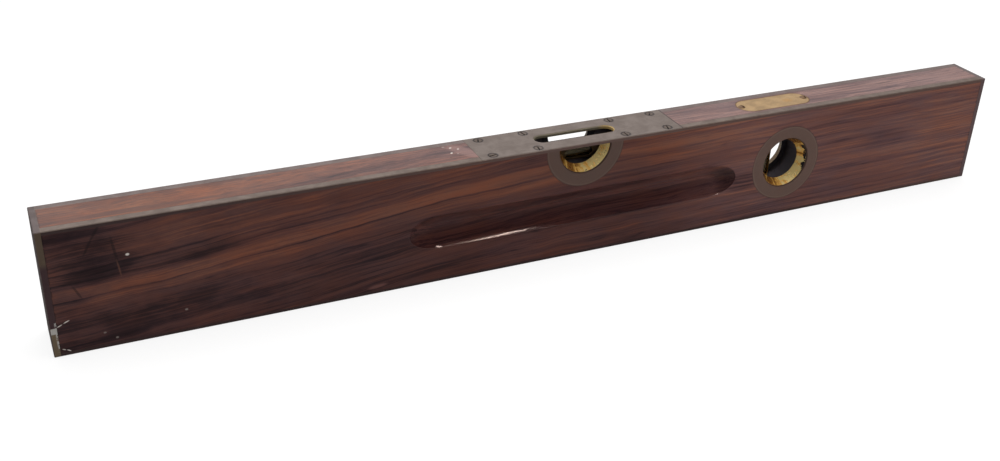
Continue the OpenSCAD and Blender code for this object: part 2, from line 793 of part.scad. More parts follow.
module plumb_hinge_pin() {
  color(steel) hinge_pin(plumb_pivot_x, plumb_pivot_z, tongue_y + side_gap);
}

module plumb_foot_plate() {
  color(dull_brass) difference() {
    block([plumb_screw_x - 7.7, -plumb_foot_y, pocket_z],
      [plumb_screw_x + 6.3, plumb_foot_y, pocket_z + nut_t]);
    translate([plumb_screw_x, 0, pocket_z - cut])
      cylinder(h = nut_t + 2 * cut, r = adjust_r + run_gap);
    at_plumb_fixing_screws() screw_seat(fixing_screw);
  }
}

module plumb_fixing_screws() {
  color(dull_brass) at_plumb_fixing_screws() wood_screw(fixing_screw, 0);
}

module plumb_spring() {
  color(steel) coil_spring(plumb_screw_x, pocket_z + nut_t, arm_z - side_gap, spring_r);
}

module plumb_washer() { color(steel) washer(plumb_screw_x, arm_z + arm_t); }

module plumb_adjusting_screw() {
  color(steel) adjusting_screw(plumb_screw_x, arm_z + arm_t, pocket_z);
}

stock();
strip_top_front_left();
strip_top_front_right();
strip_top_rear_left();
strip_top_rear_right();
strip_bottom_front();
strip_bottom_rear();
end_plate_left();
end_plate_right();
end_plate_screws();
top_plate();
top_plate_screws();
centre_port_front();
centre_port_rear();
plumb_port_front();
plumb_port_rear();
plumb_cover();
plumb_cover_screws();
level_case();
level_hinge_cap();
level_screw_cap();
level_plaster();
level_vial();
level_spirit();
level_bubble();
level_bracket();
level_hinge_pin();
level_foot_plate();
level_fixing_screws();
level_spring();
level_washer();
level_adjusting_screw();
plumb_case();
plumb_arm();
plumb_foot_cap();
plumb_plaster();
plumb_vial();
plumb_spirit();
plumb_bubble();
plumb_bracket();
plumb_hinge_pin();
plumb_foot_plate();
plumb_fixing_screws();
plumb_spring();
plumb_washer();
plumb_adjusting_screw();
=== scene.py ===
"""Looks of the brass-bound rosewood plumb and level: finishes, small parts, lamps and camera."""

import math

import bmesh
import bpy
from bpy.props import FloatProperty, FloatVectorProperty, IntProperty, PointerProperty
from mathutils import Matrix, Vector


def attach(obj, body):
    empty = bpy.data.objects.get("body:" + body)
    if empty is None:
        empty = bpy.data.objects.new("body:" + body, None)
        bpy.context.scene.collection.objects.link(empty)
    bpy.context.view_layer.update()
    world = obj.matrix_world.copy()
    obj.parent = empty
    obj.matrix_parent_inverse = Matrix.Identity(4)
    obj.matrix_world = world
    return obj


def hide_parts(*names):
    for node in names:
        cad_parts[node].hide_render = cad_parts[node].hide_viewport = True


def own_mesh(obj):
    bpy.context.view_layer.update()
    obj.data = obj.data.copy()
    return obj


bl_info = {
    "name": "Plumb and level",
    "version": (1, 0, 0),
    "blender": (4, 5, 0),
    "location": "3D View > Sidebar > Level",
    "description": "Finishes and small parts of a brass-bound rosewood plumb and level",
    "category": "Object",
}

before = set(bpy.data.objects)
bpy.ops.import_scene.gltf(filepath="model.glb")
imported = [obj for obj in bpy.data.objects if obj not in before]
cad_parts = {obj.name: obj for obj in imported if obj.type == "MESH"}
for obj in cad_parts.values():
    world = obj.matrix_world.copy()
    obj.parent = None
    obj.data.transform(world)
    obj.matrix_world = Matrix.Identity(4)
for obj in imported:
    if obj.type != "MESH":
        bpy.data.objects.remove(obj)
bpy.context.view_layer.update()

# Places in millimetres, as the part has them; turns are the angles of screw slots in degrees
BAR_H = 85.7
HALF_W = 17.5
BAR_END = 355.6
END_PLATE = 4.0
TIMBER_END = BAR_END - END_PLATE
PLATE_END = 76.7
PLATE_JOINT = 76.8
PLATE_FOOT = 83.3
PLATE_SCREW_X = (-67.0, -33.6, 33.6, 67.0)
PLATE_SCREW_Y = 12.5
PLATE_SCREW_TURNS = (12, 84, 95, 78, 70, 100, 88, 62)
END_SCREW_Z = (18.0, 67.7)
END_SCREW_TURNS = (20, 75, 110, 50)
COVER_SCREW_X = (137.8, 192.6)
COVER_SCREW_TURNS = (111, 128)
COVER_MIDDLE = 165.2
COVER_HALF = 31.0
COVER_ROUND = 10.3
PORTS = {"centre": (0.0, PLATE_FOOT), "plumb": (171.6, 42.85)}
MOUTH_R = 19.35
FLANGE_R = 29.35
RING_BORE_R = 21.4
THROAT_Y = 9.6
OVER_GROOVE = 51.5

# Adjuster springs: x, foot and top in millimetres, and the share of its length that each keeps
SPRINGS = {"level": (50.0, 65.5, 72.85, 0.88), "plumb": (182.95, 69.5, 74.35, 0.85)}

# A box that no piece reaches, for brass without worn edges
NO_EDGES = ((-400.0, -40.0, -40.0), (400.0, 40.0, 200.0))

# The stage, in metres
OVERHEAD_PLACE = (0.25, 0.35, 1.5)
GROOVE_LAMP_PLACE = (0.475, -0.655, 1.262)
GROOVE_LAMP_TARGET = (-0.057, -0.016, 0.027)
CAMERA_PLACE = (-0.370619, -0.672824, 0.427216)
CAMERA_RIGHT = (0.91174137, -0.40948333, 0.03242044)
CAMERA_UP = (0.17096044, 0.45004952, 0.87648614)
FLOOR_Z = -0.0002
FLOOR_HALF = 5


# Sizes and colours that a user may change

def colour(name, description, value):
    return FloatVectorProperty(name=name, description=description, default=value, size=3,
                               subtype="COLOR", min=0.0, max=1.0)


def length(name, description, value):
    return FloatProperty(name=name, description=description, default=value, min=0.0,
                         precision=5, unit="LENGTH", subtype="DISTANCE")


def share(name, description, value, top=1.0):
    return FloatProperty(name=name, description=description, default=value, min=0.0, max=top,
                         subtype="FACTOR")


class TimberSettings(bpy.types.PropertyGroup):
    """Colours and surface of the rosewood"""

    vein: colour("Vein", "Colour of the near-black veins", (0.013, 0.0048, 0.0055))
    heart: colour("Heart", "Colour of the dark purple bands", (0.042, 0.0165, 0.0180))
    body: colour("Body", "Colour of the plain brown wood", (0.122, 0.0455, 0.037))
    flame: colour("Flame", "Colour of the orange bands", (0.250, 0.083, 0.044))
    pore_depth: length("Pore depth", "Depth of the open pores", 0.00006)


class BrassSettings(bpy.types.PropertyGroup):
    """Colours of the brass and steel"""

    tarnish: colour("Tarnish", "Brown-grey skin on old brass", (0.210, 0.160, 0.134))
    deep_tarnish: colour("Deep tarnish", "Darkest patches of old brass", (0.172, 0.130, 0.110))
    flange: colour("Flange", "Dull flange of a port ring", (0.212, 0.132, 0.106))
    # Soot is also the colour of painted shade in the screw slots and of a painted shadow on the plumb
    # ring's cone
    soot_and_shade: colour("Soot", "Dirt and blackened brass", (0.020, 0.019, 0.024))
    shadow: colour("Shadow", "Dark brass and wood deep inside the ports", (0.055, 0.050, 0.060))
    # Besides tarnish, the case colour paints shade on the level case deep in the mortise and on the rear
    # cones of the port rings
    case: colour("Case", "Dark olive brass of the vial cases", (0.19, 0.12, 0.05))
    rubbed: colour("Rubbed brass", "Brass that hands keep bare", (0.46, 0.37, 0.22))
    gold: colour("Gold", "Bright brass inside the port rings", (1.0, 0.57, 0.14))
    amber: colour("Amber", "Darker mottle on the bright brass", (0.30, 0.125, 0.026))
    plate: colour("Top plate", "Skin of the top plate", (0.213, 0.170, 0.148))
    screw: colour("Screws", "Dark heads of the top plate's screws", (0.150, 0.112, 0.092))
    cover_screw: colour("Cover screws", "Dark heads of the cover's screws", (0.30, 0.18, 0.10))
    cover: colour("Cover", "Satin brass of the cover plate", (0.655, 0.435, 0.215))
    steel: colour("Steel", "Springs, pins and adjusting screws", (0.42, 0.41, 0.40))


class ScrewSettings(bpy.types.PropertyGroup):
    """Sizes of the slotted screws"""

    plate_head: length("Plate head", "Head radius of a top plate screw", 0.00308)
    end_head: length("End head", "Head radius of an end plate screw", 0.00368)
    cover_head: length("Cover head", "Head radius of a cover screw", 0.0027)
    cover_crown: length("Cover crown", "Height of a cover screw's round head", 0.0011)
    slot_width: length("Slot width", "Width of a screw slot", 0.0009)
    slot_depth: length("Slot depth", "Depth of a screw slot", 0.0009)
    slot_wear: length("Slot wear", "Bevel worn along the slot's edges", 0.00014)
    sides: IntProperty(name="Sides", description="Sides round a screw head", default=48, min=16,
                       max=96)


class SpringSettings(bpy.types.PropertyGroup):
    """Sizes of the two adjuster springs"""

    radius: length("Coil radius", "Mean radius of the coils", 0.00265)
    wire: length("Wire radius", "Radius of the wire", 0.0004)
    coils: FloatProperty(name="Coils", description="Turns of the wire", default=4.5, min=2, max=8)


class VialSettings(bpy.types.PropertyGroup):
    """Glass, spirit and plaster of the vials"""

    spirit: colour("Spirit", "Tint of the spirit", (0.10, 0.075, 0.028))
    glass: colour("Glass", "Tint of the glass", (0.48, 0.40, 0.26))
    plaster: colour("Plaster", "Plaster that beds the glass", (0.62, 0.57, 0.47))
    skin: length("Skin", "Gap between the spirit and the glass", 0.00003)


class StageSettings(bpy.types.PropertyGroup):
    """Floor, lamps and surroundings"""

    floor: share("Floor", "How pale the floor is for the light that it gives back", 0.62)
    shine: share("Floor shine", "How pale the floor near the level looks in glossy surfaces", 0.13)
    overhead: FloatProperty(name="Overhead lamp", description="Strength of the soft overhead lamp",
                            default=14.0, min=0.0, unit="POWER")
    groove_lamp: FloatProperty(name="Front lamp", default=0.84, min=0.0, unit="POWER",
                               description="Strength of the small warm lamp that lights the groove")
    sky: share("Sky", "Brightness of the surroundings above", 0.9, 2.0)
    lens: FloatProperty(name="Lens", description="Focal length of the camera", default=0.043658,
                        min=0.01, precision=5, unit="CAMERA")


# Node helpers

class Graph:
    """Adds nodes to a tree: inputs take a number, a colour or another node's output."""

    def __init__(self, tree):
        self.tree = tree

    def add(self, kind, inputs=None, **settings):
        """Adds a node with its settings and, by name or number, its inputs."""
        node = self.tree.nodes.new(kind)
        for name, value in settings.items():
            setattr(node, name, value)
        for key, value in (inputs or {}).items():
            self.put(node.inputs[key], value)
        return node

    def put(self, socket, value):
        """Links an output to a socket, or sets the socket to a number or a colour."""
        if isinstance(value, bpy.types.NodeSocket):
            self.tree.links.new(value, socket)
        elif socket.type == "RGBA" and len(value) == 3:
            socket.default_value = (*value, 1.0)
        else:
            socket.default_value = value

    def math(self, operation, a, b=0.0, c=0.0):
        return self.add("ShaderNodeMath", {0: a, 1: b, 2: c}, operation=operation).outputs[0]

    def chain(self, operation, values):
        """Joins any number of values with one operation."""
        result = values[0]
        for value in values[1:]:
            result = self.math(operation, result, value)
        return result

    def total(self, *values):
        return self.chain("ADD", values)

    def times(self, *values):
        return self.chain("MULTIPLY", values)

    def size(self, value):
        """The value without its sign."""
        return self.math("ABSOLUTE", value)

    def gap(self, a, b):
        """How far apart two numbers are."""
        return self.size(self.math("SUBTRACT", a, b))

    def vector(self, operation, a, b=(0.0, 0.0, 0.0), scale=1.0):
        """Vector operation, which gives a number for a length, a distance or a dot product."""
        node = self.add("ShaderNodeVectorMath", {0: a}, operation=operation)
        if operation == "SCALE":
            self.put(node.inputs["Scale"], scale)
        elif operation != "LENGTH":
            self.put(node.inputs[1], b)
        number = operation in ("LENGTH", "DISTANCE", "DOT_PRODUCT")
        return node.outputs["Value" if number else "Vector"]

    def combine(self, x, y, z):
        return self.add("ShaderNodeCombineXYZ", {0: x, 1: y, 2: z}).outputs[0]

    def split(self, vector):
        return self.add("ShaderNodeSeparateXYZ", {0: vector}).outputs

    def fade(self, value, start, end, low=0.0, high=1.0):
        """Goes softly from low to high while the value goes from start to end."""
        inputs = dict(enumerate((value, start, end, low, high)))
        return self.add("ShaderNodeMapRange", inputs, interpolation_type="SMOOTHSTEP").outputs[0]

    def mix(self, share_b, a, b, blend="MIX"):
        """Colour between a and b."""
        return self.add("ShaderNodeMix", {0: share_b, 6: a, 7: b}, data_type="RGBA",
                        blend_type=blend).outputs[2]

    def tinted(self, shade, tint):
        return self.mix(1.0, shade, tint, "MULTIPLY")

    def blend(self, share_b, a, b):
        """Number between a and b."""
        return self.add("ShaderNodeMix", {0: share_b, 2: a, 3: b}, data_type="FLOAT").outputs[0]

    def noise(self, vector, scale=1.0, detail=2.0, rough=0.5, warp=0.0):
        return self.add("ShaderNodeTexNoise", {
            "Vector": vector, "Scale": scale, "Detail": detail, "Roughness": rough,
            "Distortion": warp}).outputs[0]

    def stretched(self, place, factors, detail=2.0, rough=0.5):
        """Noise with its own fineness along each axis."""
        return self.noise(self.vector("MULTIPLY", place, factors), 1.0, detail, rough)

    def ramp(self, value, stops):
        """Colour at a value from 0 to 1, between stops that are each a place and a colour."""
        node = self.add("ShaderNodeValToRGB", {0: value})
        bar = node.color_ramp.elements
        while len(bar) < len(stops):
            bar.new(0.5)
        for element, (position, shade) in zip(bar, stops):
            element.position = position
            element.color = (*shade, 1.0)
        return node.outputs[0]

    def use(self, group, inputs):
        """Outputs of a shared group."""
        return self.add("ShaderNodeGroup", inputs, node_tree=bpy.data.node_groups[group]).outputs


def start_tree(name, kind, inputs, outputs):
    """Starts a node group; returns its graph, its input sockets and its output node."""
    tree = bpy.data.node_groups.new(name, kind)
    for label, sort, value in inputs:
        socket = tree.interface.new_socket(label, in_out="INPUT", socket_type="NodeSocket" + sort)
        if value is not None:
            socket.default_value = value
    for label, sort in outputs:
        tree.interface.new_socket(label, in_out="OUTPUT", socket_type="NodeSocket" + sort)
    return Graph(tree), tree.nodes.new("NodeGroupInput").outputs, tree.nodes.new("NodeGroupOutput")


def shader_group(name, inputs, outputs):
    """Starts a group of masks that reads a place in mm and the values that inputs name."""
    sockets = [("Place", "Vector", None), *inputs]
    return start_tree(name, "ShaderNodeTree", sockets, [(label, "Float") for label in outputs])


def material(name, **constants):
    """Starts a material; returns it with its graph, its surface shader and its place in mm."""
    made = bpy.data.materials.new(name)
    made.use_nodes = True
    tree = made.node_tree
    tree.nodes.clear()
    graph = Graph(tree)
    surface = graph.add("ShaderNodeBsdfPrincipled")
    for key, value in constants.items():
        graph.put(surface.inputs[key.replace("_", " ")], value)
    graph.add("ShaderNodeOutputMaterial", {"Surface": surface.outputs[0]})
    place = graph.add("ShaderNodeTexCoord").outputs["Object"]
    return made, graph, surface, graph.vector("SCALE", place, scale=1000.0)


def bump(g, surface, height, distance, strength):
    relief = g.add("ShaderNodeBump", {"Height": height, "Distance": distance,
                                      "Strength": strength})
    g.put(surface.inputs["Normal"], relief.outputs[0])


def coat(g, surface, shade, rough, height, distance, strength):
    """Gives a surface its colour, its roughness and its fine relief."""
    g.put(surface.inputs["Base Color"], shade)
    g.put(surface.inputs["Roughness"], rough)
    bump(g, surface, height, distance, strength)


def dress(node, made):
    """Gives a CAD node's object one material."""
    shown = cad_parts[node]
    shown.data.materials.clear()
    shown.data.materials.append(made)


def bar_box(start, end, foot=0.0):
    """Low and high corner of a stretch of the bar, in mm."""
    return (start, -HALF_W, foot), (end, HALF_W, BAR_H)


# Shared effects

def edge_wear_group():
    """How close a point on a box is to one of the box's edges, roughened by noise."""
    sockets = [("Low", "Vector", None), ("High", "Vector", None), ("Width", "Float", 1.0)]
    g, given, out = shader_group("Edge wear", sockets, ["Worn"])
    low = g.split(g.vector("SUBTRACT", given["Place"], given["Low"]))
    high = g.split(g.vector("SUBTRACT", given["High"], given["Place"]))
    a, b, c = (g.math("MINIMUM", low[k], high[k]) for k in range(3))
    middle = g.math("MAXIMUM", g.math("MINIMUM", a, b),
                    g.math("MINIMUM", g.math("MAXIMUM", a, b), c))
    chips = g.noise(given["Place"], 0.35, 4.0, 0.65)
    reach = g.times(given["Width"], g.fade(chips, 0.35, 0.7, 0.1, 1.6))
    g.put(out.inputs["Worn"], g.fade(g.math("DIVIDE", middle, reach), 1.0, 0.3))


def worn_edges(g, place, box, width):
    """Mask of the worn edges of a box in mm."""
    return g.use("Edge wear", {"Place": place, "Low": box[0], "High": box[1],
                               "Width": width})["Worn"]


def tarnish_group():
    """Cloudy patches, fine specks and rubbing marks of old brass."""
    g, given, out = shader_group("Old brass", [("Grain", "Float", 1.0)],
                                 ["Patches", "Specks", "Height"])
    clouds = g.noise(given["Place"], 0.11, 5.0, 0.62, 0.4)
    specks = g.noise(given["Place"], 1.1, 3.0, 0.6)
    lines = g.stretched(given["Place"], (0.12, 2.6, 2.6), 3.0, 0.6)
    patches = g.total(g.times(clouds, 0.8), g.times(lines, 0.25))
    g.put(out.inputs["Patches"], g.fade(patches, 0.36, 0.68))
    g.put(out.inputs["Specks"], g.fade(specks, 0.60, 0.72))
    g.put(out.inputs["Height"], g.total(g.times(specks, 0.5), g.times(lines, given["Grain"])))


def screw_grime_group():
    """Dirt in the joint round each flush screw, and the screw slots below the brass faces darkened with
    dirt and painted shade.
    """
    g, given, out = shader_group("Screw grime and slot shade", [], ["Ring", "Slot", "Joint"])
    folded = g.vector("ABSOLUTE", given["Place"])
    x, _, z = g.split(folded)
    flat = g.vector("MULTIPLY", folded, (1.0, 1.0, 0.0))
    outer, inner = (g.vector("DISTANCE", flat, (screw_x, PLATE_SCREW_Y, 0.0))
                    for screw_x in PLATE_SCREW_X[:1:-1])
    away = g.gap(g.math("MINIMUM", outer, inner), 3.2)
    on_top = g.fade(z, BAR_H - 0.4, BAR_H - 0.2)
    dirt = g.noise(given["Place"], 0.5, 2.0)
    ring = g.fade(g.math("MULTIPLY_ADD", dirt, -1.2, away), 0.25, -0.35)
    g.put(out.inputs["Ring"], g.times(ring, on_top))
    joint = g.fade(g.gap(x, PLATE_JOINT), 0.7, 0.2)
    right = g.fade(g.split(given["Place"])[0], -20.0, 20.0, 0.3, 1.0)
    g.put(out.inputs["Joint"], g.times(joint, on_top, right))
    # Slot: dirt and painted shade in the screw slots below the brass faces
    g.put(out.inputs["Slot"], g.times(g.fade(z, BAR_H - 0.25, BAR_H - 0.5),
                                      g.fade(x, BAR_END - 0.25, BAR_END - 0.5)))


# Bands of the figure by height over the grain line: place in mm, tone, share of purple
LOW_BANDS = ((-30, .46, .5), (0, .50, .4), (6, .44, .6), (9, .50, .3), (13, .42, .5), (18, .44, .4),
             (20, .50, .2), (22, .42, .5), (25, .38, .6), (27, .44, .5), (30, .50, .6),
             (36, .48, .6), (41, .51, .5), (43.5, .57, .3), (47, .60, .3), (49, .68, .1),
             (50.5, .76, 0), (52.8, .72, .1), (53.6, .40, .5), (54.6, .76, 0), (58, .80, 0))
HIGH_BANDS = ((58, .80, 0), (61, .82, .1), (62.5, .66, .6), (65, .60, .7), (66, .36, .6),
              (67, .62, .4), (69.5, .68, .3), (70.2, .52, .7), (71.2, .72, .2), (73.8, .55, .7),
              (75, .72, .2), (80, .65, .1), (84, .68, .1), (88, .59, .2), (93, .58, .3),
              (96, .46, .9), (98, .46, .9), (101, .62, .2), (108, .68, .1), (116, .64, .2),
              (124, .56, .4), (145, .54, .4))

# Darker patches of the front: middle x and z, half width and half height in mm, strength
DARK_PATCHES = ((-332, 64, 26, 24, .24), (-282, 56, 50, 8, .24), (-280, 20, 55, 8, .10),
                (-345, 36, 12, 12, .12), (-330, 10, 40, 10, .06), (265, 50, 22, 7, .12),
                (200, 11, 75, 11, .13), (90, 79, 70, 8, -.20), (136, 34, 16, 9, .16),
                (325, 45, 60, 40, -.06), (-72, 68, 58, 18, -.07), (30, 12, 110, 12, -.06))


def band_ramp(g, level, bands):
    """Tone and share of purple at a height over the grain line, from a list of bands."""
    first, last = bands[0][0], bands[-1][0]
    place = g.math("DIVIDE", g.math("SUBTRACT", level, float(first)), float(last - first))
    stops = [((at - first) / (last - first), (tone, purple, 0.0)) for at, tone, purple in bands]
    return g.split(g.ramp(place, stops))


def grain_level(g, place, x, z, across):
    """Height over the grain line, which leans, rises towards the right and wavers."""
    rise = g.math("TANH", g.math("DIVIDE", g.math("ADD", x, 200.0), 150.0))
    line = g.total(g.times(x, 0.02), g.times(rise, 15.0))
    drift = g.stretched(place, (0.011, 0.03, 0.035))
    waver = g.stretched(place, (0.05, 0.12, 0.12))
    return g.total(z, g.times(line, -1.0), across, g.math("MULTIPLY_ADD", drift, 7.0, -3.5),
                   g.math("MULTIPLY_ADD", waver, 1.8, -0.9))


def dark_patches(g, place, tone):
    """Darkens the front's patches by their strength; one below 0 makes its patch paler."""
    for mid_x, mid_z, wide, high_by, strength in DARK_PATCHES:
        off = g.vector("MULTIPLY", g.vector("SUBTRACT", place, (mid_x, -HALF_W, mid_z)),
                       (1.0 / wide, 0.12, 1.0 / high_by))
        tone = g.math("ADD", tone, g.fade(g.vector("LENGTH", off), 1.6, 0.3, 0.0, -strength))
    return tone


def rosewood_group():
    """Solid rosewood: bands that follow a leaning grain line, dark veins and fine pores."""
    g, given, out = shader_group("Rosewood figure", [],
                                 ["Tone", "Purple", "Pink", "Pores", "Height"])
    x, y, z = g.split(given["Place"])
    across = g.times(g.math("ADD", y, HALF_W), 0.9)
    level = grain_level(g, given["Place"], x, z, across)
    grain = g.combine(x, y, level)
    left = g.fade(x, -140.0, -260.0)
    right = g.fade(x, 40.0, 150.0)
    low, high = (band_ramp(g, level, bands) for bands in (LOW_BANDS, HIGH_BANDS))
    upper = g.math("GREATER_THAN", level, float(HIGH_BANDS[0][0]))
    tone, purple = (g.blend(upper, low[k], high[k]) for k in range(2))
    flat = g.total(z, g.times(x, -0.02), across)
    lines = g.stretched(g.combine(x, 1.0, flat), (0.006, 3.0, 0.34), 3.0, 0.6)
    tone = g.blend(right, tone, g.fade(lines, 0.28, 0.70, 0.46, 0.72))
    purple = g.blend(right, purple, g.fade(lines, 0.55, 0.35, 0.0, 0.5))
    tone = dark_patches(g, given["Place"], tone)
    calm = g.times(g.fade(left, 0.0, 1.0, 1.0, 0.6), g.fade(right, 0.0, 1.0, 1.0, 0.6))
    threads = g.stretched(grain, (0.008, 0.2, 0.36), 3.0, 0.6)
    blotches = g.stretched(given["Place"], (0.035, 0.08, 0.08), 3.0, 0.65)
    loops = g.stretched(g.combine(x, 1.0, level), (0.0045, 7.0, 0.13))
    vein = g.gap(g.math("FRACT", g.times(loops, 6.0)), 0.5)
    streaks = g.stretched(grain, (0.014, 0.9, 1.1), 4.0, 0.65)
    fibres = g.stretched(grain, (0.035, 2.2, 2.4), 3.0, 0.65)
    top = g.fade(z, BAR_H - 0.3, BAR_H - 0.1)
    tone = g.total(tone, g.times(g.fade(threads, 0.34, 0.66, -0.11, 0.10), calm),
                   g.times(g.fade(blotches, 0.35, 0.65, -0.07, 0.07), left),
                   g.times(g.fade(vein, 0.09, 0.0, 0.0, -0.13), calm),
                   g.times(g.math("SUBTRACT", streaks, 0.5), g.blend(top, 0.55, 1.3)),
                   g.times(left, top, 0.07), g.math("MULTIPLY_ADD", fibres, 0.60, -0.30))
    pores = g.fade(g.stretched(grain, (0.22, 4.0, 4.5), 1.0), 0.66, 0.76)
    g.put(out.inputs["Tone"], g.math("MAXIMUM", tone, 0.0))
    g.put(out.inputs["Purple"], purple)
    # Pink marks the pinker right-hand part, which is partly painted light
    g.put(out.inputs["Pink"], right)
    g.put(out.inputs["Pores"], pores)
    g.put(out.inputs["Height"], g.total(g.times(pores, -1.0), g.times(fibres, 0.5)))


# Marks on the wood: a line from one point to another, its half width and its colour
FRONT_MARKS = (((-351, 21), (-348.5, 22.2), .32, "pale"), ((-347, 23), (-344.2, 24.2), .38, "pale"),
               ((-350, 5), (-348.6, 4.4), .3, "pale"), ((-347.4, 4), (-345.8, 3), .38, "pale"),
               ((-306.2, 62), (-305.6, 62), .85, "pale"), ((-325, 11), (-324.4, 11), .6, "light_and_mottle"),
               ((-318.2, 6), (-317.8, 6), .7, "light_and_mottle"), ((-275.4, 16.3), (-274.8, 16.3), .7, "light_and_mottle"),
               ((-312.4, 60), (-310.8, 48), .55, "rubbed"), ((-314.2, 75), (-311.9, 58), .9, "dark"),
               ((-320, 84), (-325, 76), .9, "dark"), ((-325, 76), (-330.5, 66), .8, "dark"),
               ((-339, 46.5), (-335, 38), .8, "dark"), ((-156, 4.9), (-145, 6.1), 1.3, "scuff"))
TOP_MARKS = (((-333.9, 14.5), (-333.1, 14.5), .9, "pale"), ((-93.8, 10.2), (-93.2, 10.2), .8, "light_and_mottle"),
             ((-89.6, 7.4), (-89, 8), .75, "pale"), ((-85.2, 4.2), (-84.8, 4.8), .75, "pale"),
             ((-91.6, -0.2), (-91.2, 0.2), .7, "pale"), ((-87.8, -2.2), (-87.4, -1.6), .6, "light_and_mottle"),
             ((-95, -6.4), (-93.6, -6.2), .5, "dark"), ((265, 2.4), (281, 3.4), .5, "dark"),
             ((-372, -8), (-235, -7), 2.8, "shade"), ((-77, -8), (-88, 8), 5.5, "blush"))
MARK_COLOURS = {"pale": (0.72, 0.66, 0.60, 1.0), "light_and_mottle": (0.36, 0.31, 0.28, 0.6),
                "rubbed": (0.19, 0.075, 0.045, 0.5), "dark": (0.014, 0.008, 0.009, 0.5),
                "shade": (0.06, 0.032, 0.032, 0.55), "scuff": (0.26, 0.11, 0.09, 0.6),
                "blush": (0.30, 0.17, 0.15, 0.5)}


def draw_marks(g, shade, place, marks, across, face):
    """Draws short lines on one face: across is 1 for marks given in x and y, 2 in x and z."""
    for start, end, half_width, colour_name in marks:
        flat = [Vector((x, 0.0, 0.0)) for x, _ in (start, end)]
        for point, (_, other) in zip(flat, (start, end)):
            point[across] = other
        along = flat[1] - flat[0]
        run = along.normalized()
        aside = Vector((0.0, 0.0, 0.0))
        aside[0], aside[across] = -run[across], run[0]
        off = g.vector("SUBTRACT", place, tuple((flat[0] + flat[1]) / 2))
        reach = g.math("DIVIDE", g.vector("DOT_PRODUCT", off, tuple(run)),
                       along.length / 2 + half_width)
        away = g.math("DIVIDE", g.vector("DOT_PRODUCT", off, tuple(aside)), half_width)
        near = g.vector("LENGTH", g.combine(reach, away, 0.0))
        *tint, strength = MARK_COLOURS[colour_name]
        shade = g.mix(g.times(g.fade(near, 1.3, 0.6, 0.0, strength), face), shade, tuple(tint))
    return shade


# Finishes

def wood_colour(g, place, figure, timber):
    """Oiled wood: veins, bands, purple parts and the pinker right-hand part, which is partly painted
    light.
    """
    tone = figure["Tone"]
    shade = g.mix(g.fade(tone, 0.0, 0.30), timber.vein, timber.heart)
    shade = g.mix(g.fade(tone, 0.25, 0.58), shade, timber.body)
    shade = g.mix(g.fade(tone, 0.52, 0.95), shade, timber.flame)
    # The pink tint is partly the wood's own colour, partly painted light that falls stronger at the
    # right
    for share_name, reach, tint in (("Purple", 0.5, (0.85, 0.85, 1.05)),
                                    ("Pink", 0.75, (1.7, 2.12, 2.42))):
        shade = g.mix(g.times(figure[share_name], reach), shade, g.tinted(shade, tint))
    hues = g.stretched(place, (0.03, 0.09, 0.11), 3.0, 0.6)
    return g.tinted(shade, g.mix(g.fade(hues, 0.32, 0.68), (1.07, 0.97, 0.88),
                                 (0.94, 1.02, 1.12)))


def faded_top_and_sheen(g, shade, tone, x, top):
    """Top face: warmer towards the left, and paler and greyer towards the right, partly faded wood and
    partly painted sheen.
    """
    warm = g.tinted(shade, (1.02, 1.05, 0.87))
    shade = g.mix(g.times(top, g.fade(x, -20.0, -240.0)), shade, warm)
    pale = g.total(tone, g.fade(x, 230.0, 330.0, 0.0, 0.18), g.fade(x, 40.0, 100.0, 0.0, -0.10))
    # Pale greyish top colour: partly faded wood, partly painted sheen from the light above
    pale_with_sheen = g.mix(g.fade(pale, 0.38, 0.78), (0.115, 0.074, 0.074), (0.285, 0.196, 0.182))
    return g.mix(g.times(top, g.fade(x, -290.0, 190.0, 0.0, 0.64)), shade, pale_with_sheen)


def groove_masks(g, x, y, z):
    """Where the finger grooves lie, and how much painted shade they get: most at the foot and the right
    end.
    """
    below_face = g.fade(g.size(y), HALF_W - 0.05, HALF_W - 0.3)
    groove = g.times(below_face, g.fade(z, OVER_GROOVE + 0.5, OVER_GROOVE - 0.5))
    foot = g.times(g.fade(z, 40.5, 37.0), 0.45)
    right_end = g.times(g.fade(x, 98.0, 122.0), g.fade(z, 50.0, 42.0, 0.1, 0.75))
    return groove, g.times(groove, g.math("MAXIMUM", foot, right_end))


def hollow_shade_mask(g, place, y, z):
    """Where painted shade goes: deep in the bores behind the port rings and in the mortise under the top
    plate.
    """
    deep = g.size(y)
    flat = g.vector("MULTIPLY", place, (1.0, 0.0, 1.0))
    away = [g.vector("DISTANCE", flat, (port_x, 0.0, port_z)) for port_x, port_z in PORTS.values()]
    bore = g.times(g.fade(g.math("MINIMUM", *away), RING_BORE_R + 0.2, RING_BORE_R - 0.2),
                   g.fade(deep, 15.6, 14.6))
    mortise = g.times(g.fade(deep, 8.8, 8.6), g.fade(z, 85.0, 83.0))
    return g.math("MAXIMUM", bore, mortise)


